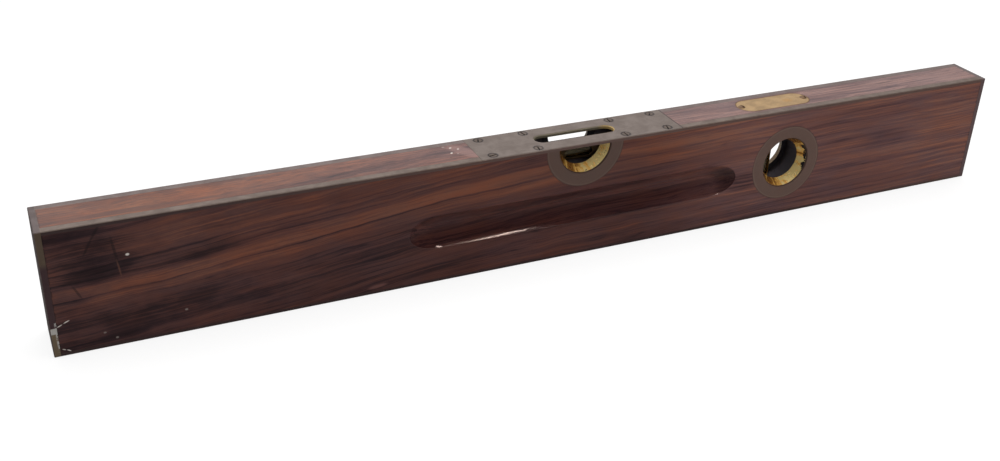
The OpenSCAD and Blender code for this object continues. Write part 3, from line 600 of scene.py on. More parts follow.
def make_rosewood(timber, shadow):
    """Oiled rosewood with worn edges, marks, polished grooves, and painted shade in the grooves and the
    hollows.
    """
    made, g, surface, place = material("oiled_rosewood")
    figure = g.use("Rosewood figure", {"Place": place})
    x, y, z = g.split(place)
    top = g.fade(z, BAR_H - 0.3, BAR_H - 0.1)
    groove, groove_shade = groove_masks(g, x, y, z)
    hollow_shade = hollow_shade_mask(g, place, y, z)
    shade = faded_top_and_sheen(g, wood_colour(g, place, figure, timber), figure["Tone"], x, top)
    # Painted shade in the finger grooves, darkest at their foot and their right end
    shade = g.mix(groove_shade, shade, (0.016, 0.0062, 0.0066))
    shade = g.mix(g.times(figure["Pores"], 0.55), shade, timber.vein)
    worn = worn_edges(g, place, bar_box(-TIMBER_END, TIMBER_END), 0.9)
    shade = g.mix(g.times(worn, 0.6), shade, timber.vein)
    shade = draw_marks(g, shade, place, FRONT_MARKS, 2, g.fade(y, -HALF_W + 0.3, -HALF_W + 0.1))
    shade = draw_marks(g, shade, place, TOP_MARKS, 1, top)
    joint = g.use("Screw grime and slot shade", {"Place": place})["Joint"]
    shade = g.mix(g.times(joint, g.fade(x, -20.0, 20.0, 0.2, 0.85)), shade, (0.05, 0.018, 0.014))
    # Painted shade deep in the bores behind the port rings and in the mortise
    shade = g.mix(g.times(hollow_shade, 0.9), shade, shadow)
    hands = g.noise(place, 0.02, 3.0, 0.6)
    polished = g.times(groove, g.fade(z, 44.0, 38.0))
    rough = g.blend(polished, g.fade(hands, 0.3, 0.7, 0.32, 0.44),
                    g.fade(hands, 0.3, 0.7, 0.045, 0.08))
    relief = g.times(figure["Height"], g.fade(polished, 0.0, 1.0, 1.0, 0.4))
    coat(g, surface, shade, g.blend(hollow_shade, rough, 0.9), relief, timber.pore_depth, 0.6)
    return made


def chipped_tint(g, tint, place, x, y, z):
    """Left end plate's long faces: yellower parts, a painted white highlight on the front corner above
    the foot, and pale chips along the joint on the front.
    """
    foot = g.fade(z, 20.6, 20.2)
    tint = g.mix(g.fade(z, 60.0, 66.0), tint, (0.175, 0.122, 0.078))
    tint = g.mix(foot, tint, (0.27, 0.20, 0.12))
    # Painted white highlight on the front corner, just above the bare foot
    highlight_and_chips = g.times(foot, g.fade(z, 16.0, 16.6))
    broken = g.fade(g.noise(place, 0.6, 3.0), 0.42, 0.56)
    line = g.times(g.fade(x, -352.9, -352.3), g.fade(z, 24.5, 24.0), broken, g.fade(z, 3.0, 4.0))
    highlight_and_chips = g.times(g.math("MAXIMUM", highlight_and_chips, line), g.fade(y, 0.0, -1.0))
    return g.mix(highlight_and_chips, tint, (0.80, 0.77, 0.72))


# Left and right tint of the binding's long faces: the change from the dark lower left to the pale right
# is partly the brass's own colour, partly painted light and shade
SIDE_TINTS = ((0.072, 0.040, 0.042), (0.235, 0.145, 0.122))


def make_old_brass(brass, name, box, grain=1.0, skin_tint=None, sides=SIDE_TINTS, screws=False,
                   chipped=False, slotted=False):
    """Brown-grey old brass, rubbed bright along the edges of its box, with its own side tints, which
    also hold painted light and shade.
    """
    made, g, surface, place = material(name, Metallic=0.4)
    x, y, z = g.split(place)
    skin = g.use("Old brass", {"Place": place, "Grain": grain})
    plain, dark = brass.tarnish, brass.deep_tarnish
    if skin_tint is not None:
        plain, dark = skin_tint, tuple(0.86 * part for part in skin_tint)
    shade = g.mix(skin["Patches"], plain, dark)
    shade = g.mix(g.times(skin["Specks"], 0.2), shade, brass.deep_tarnish)
    shade = g.mix(g.times(worn_edges(g, place, box, 0.7), 0.08), shade, brass.rubbed)
    # Side tints: darker towards the left and the foot, paler towards the right; partly the brass's own
    # colour, partly painted light and shade
    late = g.math("SUBTRACT", x, g.fade(z, 60.0, 20.0, 0.0, 430.0))
    tint = g.mix(g.fade(late, -360.0, 30.0), *sides)
    if chipped:
        tint = chipped_tint(g, tint, place, x, y, z)
    on_side = g.fade(g.size(y), HALF_W - 0.12, HALF_W - 0.04, 0.0, 0.85)
    shade = g.mix(on_side, shade, tint)
    grime = g.use("Screw grime and slot shade", {"Place": place})
    dirt = [("Ring", 0.65), ("Joint", 0.6)]
    # Screws also darken their slots with dirt and painted shade
    if screws:
        dirt.append(("Slot", 0.9))
    for spot, reach in dirt:
        shade = g.mix(g.times(grime[spot], reach), shade, brass.soot_and_shade)
    if slotted:
        # Top plate's slot walls: darker green-grey brass, with a painted highlight towards the right
        # end, where the wall catches the light
        wall = g.times(g.fade(g.size(y), 7.6, 7.2), g.fade(z, BAR_H - 0.05, BAR_H - 0.2))
        shade = g.mix(wall, shade, g.mix(g.fade(x, 20.0, 29.0), (0.24, 0.21, 0.15),
                                         (0.60, 0.42, 0.17)))
    coat(g, surface, shade, g.blend(skin["Patches"], 0.42, 0.62), skin["Height"], 0.00002, 0.5)
    return made


def ring_flange(g, brass, place, radius, pale):
    """Dull flange of a port ring, with a paler line and a dark joint near its rim."""
    patches = g.use("Old brass", {"Place": place, "Grain": 0.6})["Patches"]
    dull = g.mix(patches, brass.flange, g.mix(0.25, brass.flange, brass.deep_tarnish))
    line = g.fade(g.gap(radius, FLANGE_R - 1.05), 0.6, 0.1, 0.0, 0.3)
    dull = g.tinted(g.mix(line, dull, (0.30, 0.215, 0.175)), (pale, pale, pale))
    joint = g.fade(radius, FLANGE_R - 0.45, FLANGE_R, 0.0, 0.6)
    return g.mix(joint, dull, (0.05, 0.022, 0.018))


def ring_cone(g, brass, flat, radius, y, mottle, spots, rim_shadowed):
    """Bright cone of a port ring: gold and amber mottle with dark specks, under painted light and shade
    that is brightest at the lower right.
    """
    x, _, z = g.split(flat)
    facets = g.noise(g.vector("NORMALIZE", flat), 3.2, 4.0, 0.65)
    # Painted light: brighter towards the lower right of the cone
    light_from_lower_right = g.math("MULTIPLY_ADD", x, 0.85, g.times(z, -0.55))
    light_and_mottle = g.total(g.times(g.math("DIVIDE", light_from_lower_right, radius), -0.28), g.times(mottle, 0.8),
                  g.math("MULTIPLY_ADD", facets, 1.2, -0.5))
    bright = g.mix(g.fade(light_and_mottle, 0.33, 0.54), brass.gold, brass.amber)
    # Painted highlight where the painted light is brightest
    bright = g.mix(g.fade(light_and_mottle, 0.34, 0.22), bright, (1.0, 0.78, 0.33))
    # Painted shadow of the front rim on the right side of the cone, broken up with the dark specks
    rim_shadow = g.times(g.fade(g.math("DIVIDE", x, radius), 0.6, 0.9, 0.0, rim_shadowed),
                    g.fade(radius, 16.5, 19.5))
    bright = g.mix(g.fade(g.math("ADD", spots, rim_shadow), 0.70, 0.74), bright, brass.soot_and_shade)
    # Rear cone: darker olive brass, partly tarnish, partly painted shade
    return g.mix(g.fade(y, 5.0, 9.0), bright, brass.case)


def make_ring_brass(brass, name, centre, rim_shadowed, pale):
    """Port ring: a dull flange, a bright mottled cone inside the mouth, a painted shade line round the
    mouth, and a throat in painted shade.
    """
    made, g, surface, place = material(name)
    centred = g.add("ShaderNodeMapping", {
        "Vector": place, "Location": (-centre[0], 0.0, -centre[1])}).outputs[0]
    y = g.split(centred)[1]
    flat = g.vector("MULTIPLY", centred, (1.0, 0.0, 1.0))
    radius = g.vector("LENGTH", flat)
    inside = g.fade(radius, MOUTH_R + 0.1, MOUTH_R - 0.1)
    throat = g.fade(g.size(y), THROAT_Y + 0.05, THROAT_Y - 0.05)
    mottle = g.noise(place, 0.30, 4.0, 0.62, 0.8)
    spots = g.noise(place, 0.22, 3.0, 0.7)
    shade = g.mix(inside, ring_flange(g, brass, place, radius, pale),
                  ring_cone(g, brass, flat, radius, y, mottle, spots, rim_shadowed))
    # Painted shade: a dark line round the mouth, and the throat in the shadow colour
    rim = g.fade(g.gap(radius, MOUTH_R + 0.3), 0.45, 0.1, 0.0, 0.7)
    shade = g.mix(throat, g.mix(rim, shade, (0.035, 0.022, 0.016)), brass.shadow)
    rough = g.blend(inside, 0.5, g.fade(mottle, 0.35, 0.7, 0.14, 0.34))
    g.put(surface.inputs["Metallic"], g.blend(inside, 0.4, 0.35))
    coat(g, surface, shade, g.blend(throat, rough, 0.85), g.total(mottle, g.times(spots, 0.6)),
         0.00030, 0.7)
    return made


def cover_marks(g, shade, place, patches):
    """Warm patch and brown edge of the cover plate."""
    warm_spot = g.vector("DISTANCE", g.vector("MULTIPLY", place, (1.0, 1.4, 0.0)),
                         (178.0, -1.0, 0.0))
    near = g.fade(g.math("MULTIPLY_ADD", patches, 2.5, warm_spot), 7.0, 2.0)
    shade = g.mix(g.times(near, 0.55), shade, (0.62, 0.33, 0.10))
    x, y, _ = g.split(place)
    straight = COVER_HALF - COVER_ROUND
    past = g.math("MAXIMUM", g.math("SUBTRACT", g.gap(x, COVER_MIDDLE), straight), 0.0)
    out = g.vector("LENGTH", g.combine(past, y, 0.0))
    edge = g.fade(out, COVER_ROUND - 1.2, COVER_ROUND - 0.3, 0.0, 0.8)
    return g.mix(edge, shade, (0.15, 0.07, 0.03))


def make_satin_brass(brass, name, tint, cover=False):
    """Satin brass with soft clouds and fine specks."""
    made, g, surface, place = material(name, Metallic=0.8)
    skin = g.use("Old brass", {"Place": place, "Grain": 0.8})
    shade = g.mix(g.times(skin["Patches"], 0.35), tint, brass.tarnish)
    shade = g.mix(g.times(skin["Specks"], 0.3), shade, brass.amber)
    if cover:
        shade = cover_marks(g, shade, place, skin["Patches"])
    coat(g, surface, shade, g.blend(skin["Patches"], 0.34, 0.52), skin["Height"], 0.00002, 0.5)
    return made


def make_steel(brass):
    """Steel of the springs, pins, washers and adjusting screws."""
    made, g, surface, place = material("bright_steel", Metallic=1.0)
    skin = g.use("Old brass", {"Place": place, "Grain": 1.0})
    shade = g.mix(g.times(skin["Patches"], 0.5), brass.steel, (0.20, 0.17, 0.14))
    coat(g, surface, shade, g.blend(skin["Patches"], 0.28, 0.46), skin["Height"], 0.000012, 0.5)
    return made


def make_glass(name, tint, ior, rough):
    """Clear body whose faint waviness bends what is seen through it."""
    made, g, surface, place = material(name, Base_Color=tint, IOR=ior, Roughness=rough,
                                       Transmission_Weight=1.0)
    bump(g, surface, g.noise(place, 0.12, 2.0), 0.00004, 0.3)
    return made


def make_plaster(vial):
    """Gritty plaster with darker clouds."""
    made, g, surface, place = material("plaster")
    grit = g.noise(place, 1.6, 4.0, 0.7)
    shade = g.mix(g.fade(grit, 0.35, 0.65), vial.plaster, (0.36, 0.30, 0.22))
    coat(g, surface, shade, g.fade(grit, 0.3, 0.7, 0.75, 0.95), grit, 0.0001, 0.6)
    return made


# Repeated pieces

def start_pieces(name, inputs):
    """Starts a Geometry Nodes tree with a start mesh, the named inputs and a material."""
    sockets = [("Geometry", "Geometry", None), *inputs, ("Material", "Material", None)]
    return start_tree(name, "GeometryNodeTree", sockets, [("Geometry", "Geometry")])


def finish_pieces(g, out, geometry, finish):
    """Ends a tree: instances made real, with their material."""
    real = g.add("GeometryNodeRealizeInstances", {"Geometry": geometry})
    painted = g.add("GeometryNodeSetMaterial", {"Geometry": real.outputs[0], "Material": finish})
    g.put(out.inputs["Geometry"], painted.outputs[0])


def screw_profile(g, given):
    """Half outline of a screw from its crown to its tip, as pairs of a radius and a height."""
    head, crown, edge, shank = given["Head radius"], given["Crown"], given["Edge"], given["Shank radius"]
    dome = [(g.times(head, part), g.times(crown, 1.0 - part * part))
            for part in (0.0, 0.4, 0.7, 0.88)]
    lip = g.math("SUBTRACT", head, edge)
    fall = g.math("SUBTRACT", 1.0, g.math("POWER", g.math("DIVIDE", lip, head), 2.0))
    point, blunt = 0.003, 0.0002
    tip = g.times(given["Length"], -1.0)
    return [*dome, (lip, g.times(crown, fall)), (head, g.times(edge, -1.0)),
            (shank, g.times(given["Under head"], -1.0)),
            (shank, g.math("SUBTRACT", point, given["Length"])), (blunt, tip), (0.0, tip)]


def turned_solid(g, profile, sides):
    """Closed solid that an outline sweeps when it is turned once about the Z axis."""
    rows = len(profile)
    grid = g.add("GeometryNodeMeshGrid", {
        "Size X": 1.0, "Size Y": 1.0, "Vertices X": g.math("ADD", sides, 1.0),
        "Vertices Y": rows})
    index = g.add("GeometryNodeInputIndex").outputs[0]
    column = g.math("FLOOR", g.math("DIVIDE", index, float(rows)))
    angle = g.times(g.math("DIVIDE", column, sides), 2 * math.pi)
    choose = g.add("GeometryNodeIndexSwitch", data_type="VECTOR")
    while len(choose.index_switch_items) < rows:
        choose.index_switch_items.new()
    g.put(choose.inputs["Index"], g.math("MODULO", index, float(rows)))
    for k, (across, up) in enumerate(profile):
        g.put(choose.inputs[k + 1], g.combine(across, 0.0, up))
    across, _, up = g.split(choose.outputs[0])
    place = g.combine(g.times(across, g.math("COSINE", angle)),
                      g.times(across, g.math("SINE", angle)), up)
    turned = g.add("GeometryNodeSetPosition", {"Geometry": grid.outputs[0], "Position": place})
    closed = g.add("GeometryNodeMergeByDistance", {"Geometry": turned.outputs[0],
                                                   "Distance": 0.000001})
    return closed.outputs[0]


def slot_cutters(g, given):
    """Bar that cuts the slot of a screw, and a bar on its edge that bevels the slot."""
    run, tall = g.times(given["Head radius"], 3.0), 0.004
    floor = g.math("SUBTRACT", given["Crown"], given["Slot depth"])
    side = g.times(g.total(g.times(given["Slot width"], 0.5), given["Slot wear"]), math.sqrt(2.0))
    for size, height, lean in (
            (g.combine(run, given["Slot width"], tall), g.math("ADD", floor, tall / 2), 0.0),
            (g.combine(run, side, side), given["Crown"], math.pi / 4)):
        bar = g.add("GeometryNodeMeshCube", {"Size": size})
        bar = g.add("GeometryNodeTransform", {
            "Geometry": bar.outputs[0], "Translation": g.combine(0.0, 0.0, height),
            "Rotation": (lean, 0.0, 0.0)})
        yield bar.outputs[0]


def screw_tree():
    """Slotted screws on points: a turned head and shank with a slot cut across the head."""
    g, given, out = start_pieces("Slotted screws", [
        *((label, "Float", value) for label, value in (
            ("Head radius", 0.003), ("Crown", 0.0), ("Under head", 0.0015),
            ("Shank radius", 0.0015), ("Length", 0.012), ("Edge", 0.0002),
            ("Slot width", 0.0009), ("Slot depth", 0.0009), ("Slot wear", 0.0001))),
        ("Sides", "Int", 48)])
    cut = g.add("GeometryNodeMeshBoolean", operation="DIFFERENCE", solver="EXACT")
    g.put(cut.inputs["Mesh 1"], turned_solid(g, screw_profile(g, given), given["Sides"]))
    for cutter in slot_cutters(g, given):
        g.put(cut.inputs["Mesh 2"], cutter)
    turning = g.add("GeometryNodeInputNamedAttribute", {"Name": "turning"},
                    data_type="FLOAT_VECTOR").outputs[0]
    turning = g.add("FunctionNodeEulerToRotation", {"Euler": turning}).outputs[0]
    placed = g.add("GeometryNodeInstanceOnPoints", {
        "Points": given["Geometry"], "Instance": cut.outputs[0], "Rotation": turning})
    finish_pieces(g, out, placed.outputs[0], given["Material"])
    return g.tree


def spring_tree():
    """Compression spring: round wire along a spiral, with its foot on the base."""
    g, given, out = start_pieces("Coil spring", [
        ("Radius", "Float", 0.00265), ("Wire radius", "Float", 0.0004),
        ("Height", "Float", 0.007), ("Coils", "Float", 4.5), ("Base", "Vector", None)])
    radius, wire_radius = given["Radius"], given["Wire radius"]
    rise = g.math("SUBTRACT", given["Height"], g.times(wire_radius, 2.0))
    spiral = g.add("GeometryNodeCurveSpiral", {
        "Resolution": 28, "Rotations": given["Coils"], "Start Radius": radius,
        "End Radius": radius, "Height": rise})
    ring = g.add("GeometryNodeCurvePrimitiveCircle", {"Resolution": 12, "Radius": wire_radius})
    wire = g.add("GeometryNodeCurveToMesh", {
        "Curve": spiral.outputs[0], "Profile Curve": ring.outputs[0], "Fill Caps": True})
    lift = g.vector("ADD", given["Base"], g.combine(0.0, 0.0, wire_radius))
    placed = g.add("GeometryNodeTransform", {"Geometry": wire.outputs[0], "Translation": lift})
    smooth = g.add("GeometryNodeSetShadeSmooth", {"Geometry": placed.outputs[0]})
    finish_pieces(g, out, smooth.outputs[0], given["Material"])
    return g.tree


def add_object(name, data):
    """Puts an object with the given mesh, lamp or camera into the scene."""
    made = bpy.data.objects.new(name, data)
    bpy.context.scene.collection.objects.link(made)
    return made


def grow(name, start, tree, values, body, node):
    """Runs a tree on a start mesh, keeps the result as a plain mesh and puts it on its body."""
    seed = add_object(f"{name}_seed", start)
    modifier = seed.modifiers.new(tree.name, "NODES")
    modifier.node_group = tree
    for item in tree.interface.items_tree:
        if item.in_out == "INPUT" and item.name in values:
            modifier[item.identifier] = values[item.name]
    bpy.context.view_layer.update()
    view = seed.evaluated_get(bpy.context.evaluated_depsgraph_get())
    mesh = bpy.data.meshes.new_from_object(view)
    bpy.data.objects.remove(seed)
    if not mesh.polygons:
        raise RuntimeError(f"{name} came out empty")
    outward(mesh)
    mesh.name = name
    piece = add_object(name, mesh)
    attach(piece, body)
    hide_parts(node)
    return piece


def outward(mesh):
    """Merges doubles and turns every face outwards."""
    shape = bmesh.new()
    shape.from_mesh(mesh)
    bmesh.ops.remove_doubles(shape, verts=shape.verts, dist=1e-7)
    bmesh.ops.recalc_face_normals(shape, faces=shape.faces)
    shape.to_mesh(mesh)
    shape.free()


def soften(mesh, angle):
    """Smooth shading with sharp edges where faces meet at more than the angle."""
    mesh.shade_smooth()
    mesh.set_sharp_from_angle(angle=math.radians(angle))


def screw_points(name, spots):
    """Points in millimetres with the turning of each screw, as Euler angles."""
    mesh = bpy.data.meshes.new(f"{name}_points")
    mesh.from_pydata([Vector(at) / 1000 for at, _ in spots], [], [])
    turning = mesh.attributes.new("turning", "FLOAT_VECTOR", "POINT")
    for item, (_, angles) in zip(turning.data, spots):
        item.vector = angles
    return mesh


def copy_merged(node, name, inset):
    """Merged copy of a CAD node, drawn in by inset so that it lies free of its neighbour."""
    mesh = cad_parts[node].data.copy()
    mesh.name = name
    if mesh.has_custom_normals:
        mesh.attributes.remove(mesh.attributes["custom_normal"])
    outward(mesh)
    shape = bmesh.new()
    shape.from_mesh(mesh)
    shape.normal_update()
    moves = [(v, v.normal * v.calc_shell_factor()) for v in shape.verts]
    for v, step in moves:
        v.co -= step * inset
    shape.to_mesh(mesh)
    shape.free()
    return add_object(name, mesh)


# Operators

class LEVEL_OT_timber(bpy.types.Operator):
    """Finish the stock in oiled rosewood"""

    bl_idname = "level.timber"
    bl_label = "Timber"

    def execute(self, context):
        rosewood_group()
        shadow = context.scene.level_brass.shadow
        dress("stock", make_rosewood(context.scene.level_timber, shadow))
        return {"FINISHED"}


class LEVEL_OT_binding(bpy.types.Operator):
    """Finish the strips, the end plates and the top plate in old brass"""

    bl_idname = "level.binding"
    bl_label = "Brass binding"

    def execute(self, context):
        brass = context.scene.level_brass
        bar = bar_box(-TIMBER_END, TIMBER_END)
        strips = make_old_brass(brass, "strip_brass", bar, 1.4)
        # The rear strips' pinker, bluer skin paints the bluish reflection that the rear faces catch at a
        # grazing view
        rear = make_old_brass(brass, "rear_strip_brass", bar, 1.4, (0.212, 0.163, 0.152))
        for side, made in (("front", strips), ("rear", rear)):
            for end in ("left", "right"):
                dress(f"strip_top_{side}_{end}", made)
            dress(f"strip_bottom_{side}", made)
        # End plates: the right plate's paler skin and the dark-to-pale side tints are partly the brass's
        # own colour, partly painted light that falls stronger at the right
        sides = ((0.088, 0.042, 0.048), (0.240, 0.158, 0.162))
        for end, box, tint in (
                ("left", bar_box(-BAR_END, -TIMBER_END), (0.155, 0.120, 0.116)),
                ("right", bar_box(TIMBER_END, BAR_END), (0.185, 0.146, 0.142))):
            made = make_old_brass(brass, f"end_brass_{end}", box, 1.0, tint, sides,
                                  chipped=end == "left")
            dress(f"end_plate_{end}", made)
        plate = bar_box(-PLATE_END, PLATE_END, PLATE_FOOT)
        dress("top_plate", make_old_brass(brass, "plate_brass", plate, 1.6, brass.plate,
                                          slotted=True))
        return {"FINISHED"}


class LEVEL_OT_rings(bpy.types.Operator):
    """Finish the port rings: a dull flange, a bright cone and a throat in painted shade"""

    bl_idname = "level.rings"
    bl_label = "Port rings"

    def execute(self, context):
        brass = context.scene.level_brass
        for port, rim_shadowed, pale in (("centre", 0.0, 1.0), ("plumb", 0.25, 1.25)):
            made = make_ring_brass(brass, f"{port}_ring_brass", PORTS[port], rim_shadowed, pale)
            for side in ("front", "rear"):
                dress(f"{port}_port_{side}", made)
        return {"FINISHED"}


class LEVEL_OT_cover(bpy.types.Operator):
    """Finish the cover plate in satin brass"""

    bl_idname = "level.cover"
    bl_label = "Cover plate"

    def execute(self, context):
        brass = context.scene.level_brass
        dress("plumb_cover", make_satin_brass(brass, "cover_brass", brass.cover, cover=True))
        return {"FINISHED"}


class LEVEL_OT_screws(bpy.types.Operator):
    """Make the slotted screws of the top plate, the end plates and the cover"""

    bl_idname = "level.screws"
    bl_label = "Screws"

    def execute(self, context):
        brass, sizes = context.scene.level_brass, context.scene.level_screws
        tree = screw_tree()
        old = make_old_brass(brass, "screw_brass", NO_EDGES, 0.6, brass.screw, screws=True)
        bright = make_satin_brass(brass, "cover_screw_brass", brass.cover_screw)
        shared = {"Slot width": sizes.slot_width, "Slot depth": sizes.slot_depth,
                  "Slot wear": sizes.slot_wear, "Sides": sizes.sides}
        places = [(x, side * PLATE_SCREW_Y, BAR_H) for side in (-1, 1) for x in PLATE_SCREW_X]
        spots = self.upright(places, PLATE_SCREW_TURNS)
        self.make("top_plate_screw_set", spots, tree, old, "top_plate_screws", "dull_brass",
                  {**shared, "Head radius": sizes.plate_head, "Crown": 0.0, "Under head": 0.00155,
                   "Shank radius": 0.0017, "Length": 0.014, "Edge": 0.0003})
        spots = []
        for number, turn in enumerate(END_SCREW_TURNS):
            sign = -1 if number < 2 else 1
            face = Matrix.Rotation(sign * math.pi / 2, 4, "Y")
            turned = face @ Matrix.Rotation(math.radians(turn), 4, "Z")
            spots.append(((sign * BAR_END, 0.0, END_SCREW_Z[number % 2]), turned.to_euler()))
        self.make("end_plate_screw_set", spots, tree, old, "end_plate_screws", "dull_brass",
                  {**shared, "Head radius": sizes.end_head, "Crown": 0.0, "Under head": 0.00175,
                   "Shank radius": 0.002, "Length": 0.028, "Edge": 0.0002})
        spots = self.upright([(x, 0.0, BAR_H) for x in COVER_SCREW_X], COVER_SCREW_TURNS)
        self.make("cover_screw_set", spots, tree, bright, "plumb_cover_screws", "bright_brass",
                  {**shared, "Head radius": sizes.cover_head, "Crown": sizes.cover_crown,
                   "Under head": 0.00002, "Shank radius": 0.0015, "Length": 0.012,
                   "Edge": 0.00002})
        return {"FINISHED"}

    def upright(self, places, turns):
        """Screws that stand on their places, each with its slot at its own angle."""
        return [(at, (0.0, 0.0, math.radians(turn))) for at, turn in zip(places, turns)]

    def make(self, name, spots, tree, finish, node, slot, values):
        """One set of like screws, which replaces the part's own plain ones."""
        values = {**values, "Material": finish}
        piece = grow(name, screw_points(name, spots), tree, values, "base", node)
        soften(piece.data, 24)


class LEVEL_OT_cases(bpy.types.Operator):
    """Finish the two vial cases, their caps and their plaster"""

    bl_idname = "level.cases"
    bl_label = "Vial cases"

    def execute(self, context):
        brass, vial = context.scene.level_brass, context.scene.level_vials
        gold = make_satin_brass(brass, "plumb_case_brass", brass.gold)
        # The level case's dark olive brass is partly tarnish, partly painted shade deep in the mortise
        olive = make_satin_brass(brass, "level_case_brass", brass.case)
        for unit, made, parts in (("plumb", gold, ("case", "arm", "foot_cap")),
                                  ("level", olive, ("case", "hinge_cap", "screw_cap"))):
            for part in parts:
                dress(f"{unit}_{part}", made)
        plaster = make_plaster(vial)
        for unit in ("level", "plumb"):
            dress(f"{unit}_plaster", plaster)
        return {"FINISHED"}


class LEVEL_OT_vials(bpy.types.Operator):
    """Make the vials' glass, spirit and bubbles"""

    bl_idname = "level.vials"
    bl_label = "Vials"

    def execute(self, context):
        vial = context.scene.level_vials
        glass = make_glass("vial_glass", vial.glass, 1.5, 0.02)
        spirit = make_glass("pale_spirit", vial.spirit, 1.36, 0.0)
        air = make_glass("air", (1.0, 1.0, 1.0), 1.0, 0.0)
        for unit in ("level", "plumb"):
            dress(f"{unit}_vial", glass)
            dress(f"{unit}_bubble", air)
            piece = copy_merged(f"{unit}_spirit", f"{unit}_spirit_fill", vial.skin)
            piece.data.materials.clear()
            piece.data.materials.append(spirit)
            soften(piece.data, 40)
            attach(piece, f"{unit}_unit")
            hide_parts(f"{unit}_spirit")
        return {"FINISHED"}


class LEVEL_OT_adjusters(bpy.types.Operator):
    """Finish the brackets, pins, foot plates, washers and adjusting screws"""

    bl_idname = "level.adjusters"
    bl_label = "Adjusters"

    def execute(self, context):
        brass = context.scene.level_brass
        old = make_old_brass(brass, "fitting_brass", NO_EDGES, 0.8)
        steel = make_steel(brass)
        for unit in ("level", "plumb"):
            for part in ("bracket", "foot_plate", "fixing_screws"):
                dress(f"{unit}_{part}", old)
            for part in ("hinge_pin", "washer", "adjusting_screw"):
                dress(f"{unit}_{part}", steel)
        return {"FINISHED"}


class LEVEL_OT_springs(bpy.types.Operator):
    """Make the two adjuster springs"""

    bl_idname = "level.springs"
    bl_label = "Springs"

    def execute(self, context):
        sizes = context.scene.level_springs
        tree = spring_tree()
        steel = bpy.data.materials["bright_steel"]
        for unit, (x, foot, top, keep) in SPRINGS.items():
            base = Vector((x, 0.0, foot)) / 1000
            start = bpy.data.meshes.new(f"{unit}_spring_point")
            start.from_pydata([base], [], [])
            values = {"Radius": sizes.radius, "Wire radius": sizes.wire, "Coils": sizes.coils,
                      "Height": (top - foot) / 1000, "Base": base, "Material": steel}
            piece = grow(f"{unit}_coil_spring", start, tree, values, "base", f"{unit}_spring")
            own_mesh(piece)
        return {"FINISHED"}


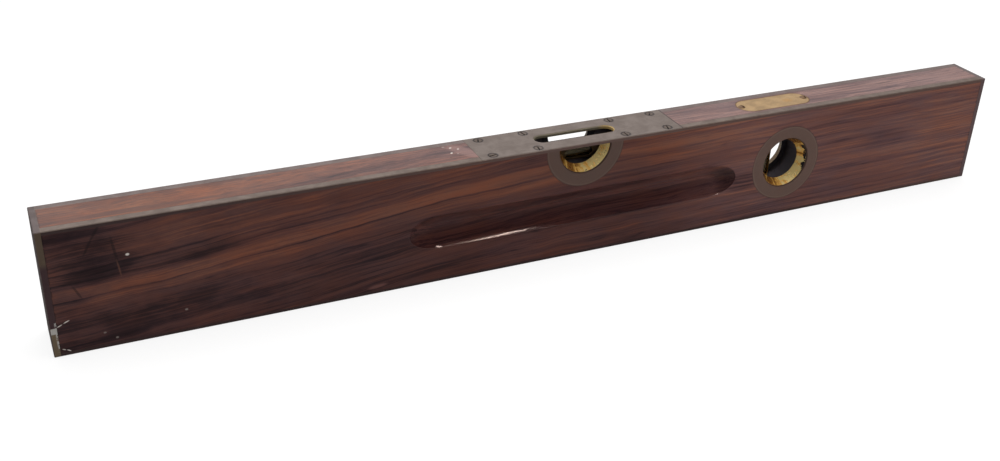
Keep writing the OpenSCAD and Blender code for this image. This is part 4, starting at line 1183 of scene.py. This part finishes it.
class LEVEL_OT_stage(bpy.types.Operator):
    """Set the floor, the surroundings, the lamps and the camera"""

    bl_idname = "level.stage"
    bl_label = "Stage"

    def execute(self, context):
        stage = context.scene.level_stage
        self.floor(stage)
        self.surroundings(stage)
        self.lamp("overhead_lamp", OVERHEAD_PLACE, (0.0, 0.0, 0.0), (1.4, 1.4),
                  stage.overhead, (1.0, 1.0, 1.0), False)
        self.lamp("groove_lamp", GROOVE_LAMP_PLACE, GROOVE_LAMP_TARGET, (0.02, 0.25),
                  stage.groove_lamp, (1.0, 0.76, 0.66), True)
        self.camera(stage)
        context.scene.view_settings.view_transform = "Standard"
        return {"FINISHED"}

    def seen_apart(self, g, ray, lit, seen, output):
        """Shows one shader to the camera, also through glass, and another to all other rays."""
        direct = g.math("MAXIMUM", ray["Is Camera Ray"], ray["Is Transmission Ray"])
        both = g.add("ShaderNodeMixShader", {0: direct, 1: lit.outputs[0], 2: seen.outputs[0]})
        g.add(output, {"Surface": both.outputs[0]})

    def floor(self, stage):
        """Pale floor that looks nearly white, and looks darker in glossy surfaces."""
        mesh = bpy.data.meshes.new("floor")
        corners = [(x * FLOOR_HALF, y * FLOOR_HALF, FLOOR_Z)
                   for x, y in ((-1, -1), (1, -1), (1, 1), (-1, 1))]
        mesh.from_pydata(corners, [], [(0, 1, 2, 3)])
        made = bpy.data.materials.new("pale_floor")
        made.use_nodes = True
        made.node_tree.nodes.clear()
        g = Graph(made.node_tree)
        _, y, _ = g.split(g.add("ShaderNodeTexCoord").outputs["Object"])
        near = g.times(g.fade(y, -0.9, -0.2, 0.25, 1.0), stage.floor)
        glint = g.fade(y, -0.16, -0.03, 0.04, stage.shine)
        ray = g.add("ShaderNodeLightPath").outputs
        level = g.blend(ray["Is Glossy Ray"], near, glint)
        plain = g.add("ShaderNodeBsdfDiffuse", {"Color": g.combine(level, level, level)})
        pale = g.add("ShaderNodeBsdfDiffuse", {"Color": (0.22, 0.22, 0.22)})
        lift = g.add("ShaderNodeEmission", {"Color": (1.0, 1.0, 1.0), "Strength": 0.82})
        seen = g.add("ShaderNodeAddShader", {0: pale.outputs[0], 1: lift.outputs[0]})
        self.seen_apart(g, ray, plain, seen, "ShaderNodeOutputMaterial")
        mesh.materials.append(made)
        add_object("floor", mesh)

    def surroundings(self, stage):
        """Soft light from above and behind, and a white background for the camera."""
        world = bpy.data.worlds.new("soft_room")
        bpy.context.scene.world = world
        world.use_nodes = True
        world.node_tree.nodes.clear()
        g = Graph(world.node_tree)
        _, y, z = g.split(g.add("ShaderNodeTexCoord").outputs["Generated"])
        above = g.times(g.fade(z, 0.15, 0.75), stage.sky)
        behind = g.times(g.fade(y, -0.25, 0.45), 0.85)
        level = g.math("ADD", g.math("MAXIMUM", above, behind), 0.03)
        rear = g.total(g.times(y, 0.6), g.times(z, 0.8))
        ray = g.add("ShaderNodeLightPath").outputs
        level = g.blend(ray["Is Glossy Ray"], level, g.fade(rear, 0.45, 0.9, 0.015, stage.sky))
        room = g.add("ShaderNodeBackground", {"Color": (1.0, 1.0, 1.0), "Strength": level})
        white = g.add("ShaderNodeBackground", {"Color": (1.0, 1.0, 1.0), "Strength": 1.0})
        self.seen_apart(g, ray, room, white, "ShaderNodeOutputWorld")

    def lamp(self, name, place, target, size, power, tint, mirrored):
        """Rectangular lamp that looks at its target; only a mirrored one shows in glossy pieces."""
        light = bpy.data.lights.new(name, "AREA")
        light.shape = "RECTANGLE"
        light.size, light.size_y = size
        light.energy = power
        light.color = tint
        lamp = add_object(name, light)
        lamp.location = place
        aim = Vector(target) - Vector(place)
        lamp.rotation_euler = aim.to_track_quat("-Z", "Y").to_euler()
        lamp.visible_glossy = mirrored

    def camera(self, stage):
        """Camera with the photograph's own view."""
        data = bpy.data.cameras.new("photo_camera")
        data.sensor_width = 36.0
        data.lens = stage.lens * 1000
        camera = add_object("photo_camera", data)
        right, up = Vector(CAMERA_RIGHT), Vector(CAMERA_UP)
        turn = Matrix((right, up, right.cross(up))).transposed().to_4x4()
        camera.matrix_world = Matrix.Translation(CAMERA_PLACE) @ turn
        bpy.context.scene.camera = camera


class LEVEL_PT_panel(bpy.types.Panel):
    """Lists the operators and settings of the level"""

    bl_label = "Plumb and level"
    bl_idname = "LEVEL_PT_panel"
    bl_space_type = "VIEW_3D"
    bl_region_type = "UI"
    bl_category = "Level"

    def draw(self, context):
        for operator in OPERATORS:
            self.layout.operator(operator.bl_idname)
        for name, settings in SETTINGS.items():
            box = self.layout.box()
            for field in settings.__annotations__:
                box.prop(getattr(context.scene, name), field)


SETTINGS = {
    "level_timber": TimberSettings,
    "level_brass": BrassSettings,
    "level_screws": ScrewSettings,
    "level_springs": SpringSettings,
    "level_vials": VialSettings,
    "level_stage": StageSettings,
}
OPERATORS = (LEVEL_OT_timber, LEVEL_OT_binding, LEVEL_OT_rings, LEVEL_OT_cover, LEVEL_OT_screws,
             LEVEL_OT_cases, LEVEL_OT_vials, LEVEL_OT_adjusters, LEVEL_OT_springs, LEVEL_OT_stage)


def register():
    """Registers the classes and hangs the settings on the scene."""
    for made in (*SETTINGS.values(), *OPERATORS, LEVEL_PT_panel):
        bpy.utils.register_class(made)
    for name, settings in SETTINGS.items():
        setattr(bpy.types.Scene, name, PointerProperty(type=settings))


def unregister():
    for name in SETTINGS:
        delattr(bpy.types.Scene, name)
    for made in (LEVEL_PT_panel, *reversed(OPERATORS), *SETTINGS.values()):
        bpy.utils.unregister_class(made)


def main():
    """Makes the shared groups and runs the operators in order."""
    register()
    edge_wear_group()
    tarnish_group()
    screw_grime_group()
    for operator in OPERATORS:
        group, name = operator.bl_idname.split(".")
        getattr(getattr(bpy.ops, group), name)()


if __name__ == "__main__":
    main()
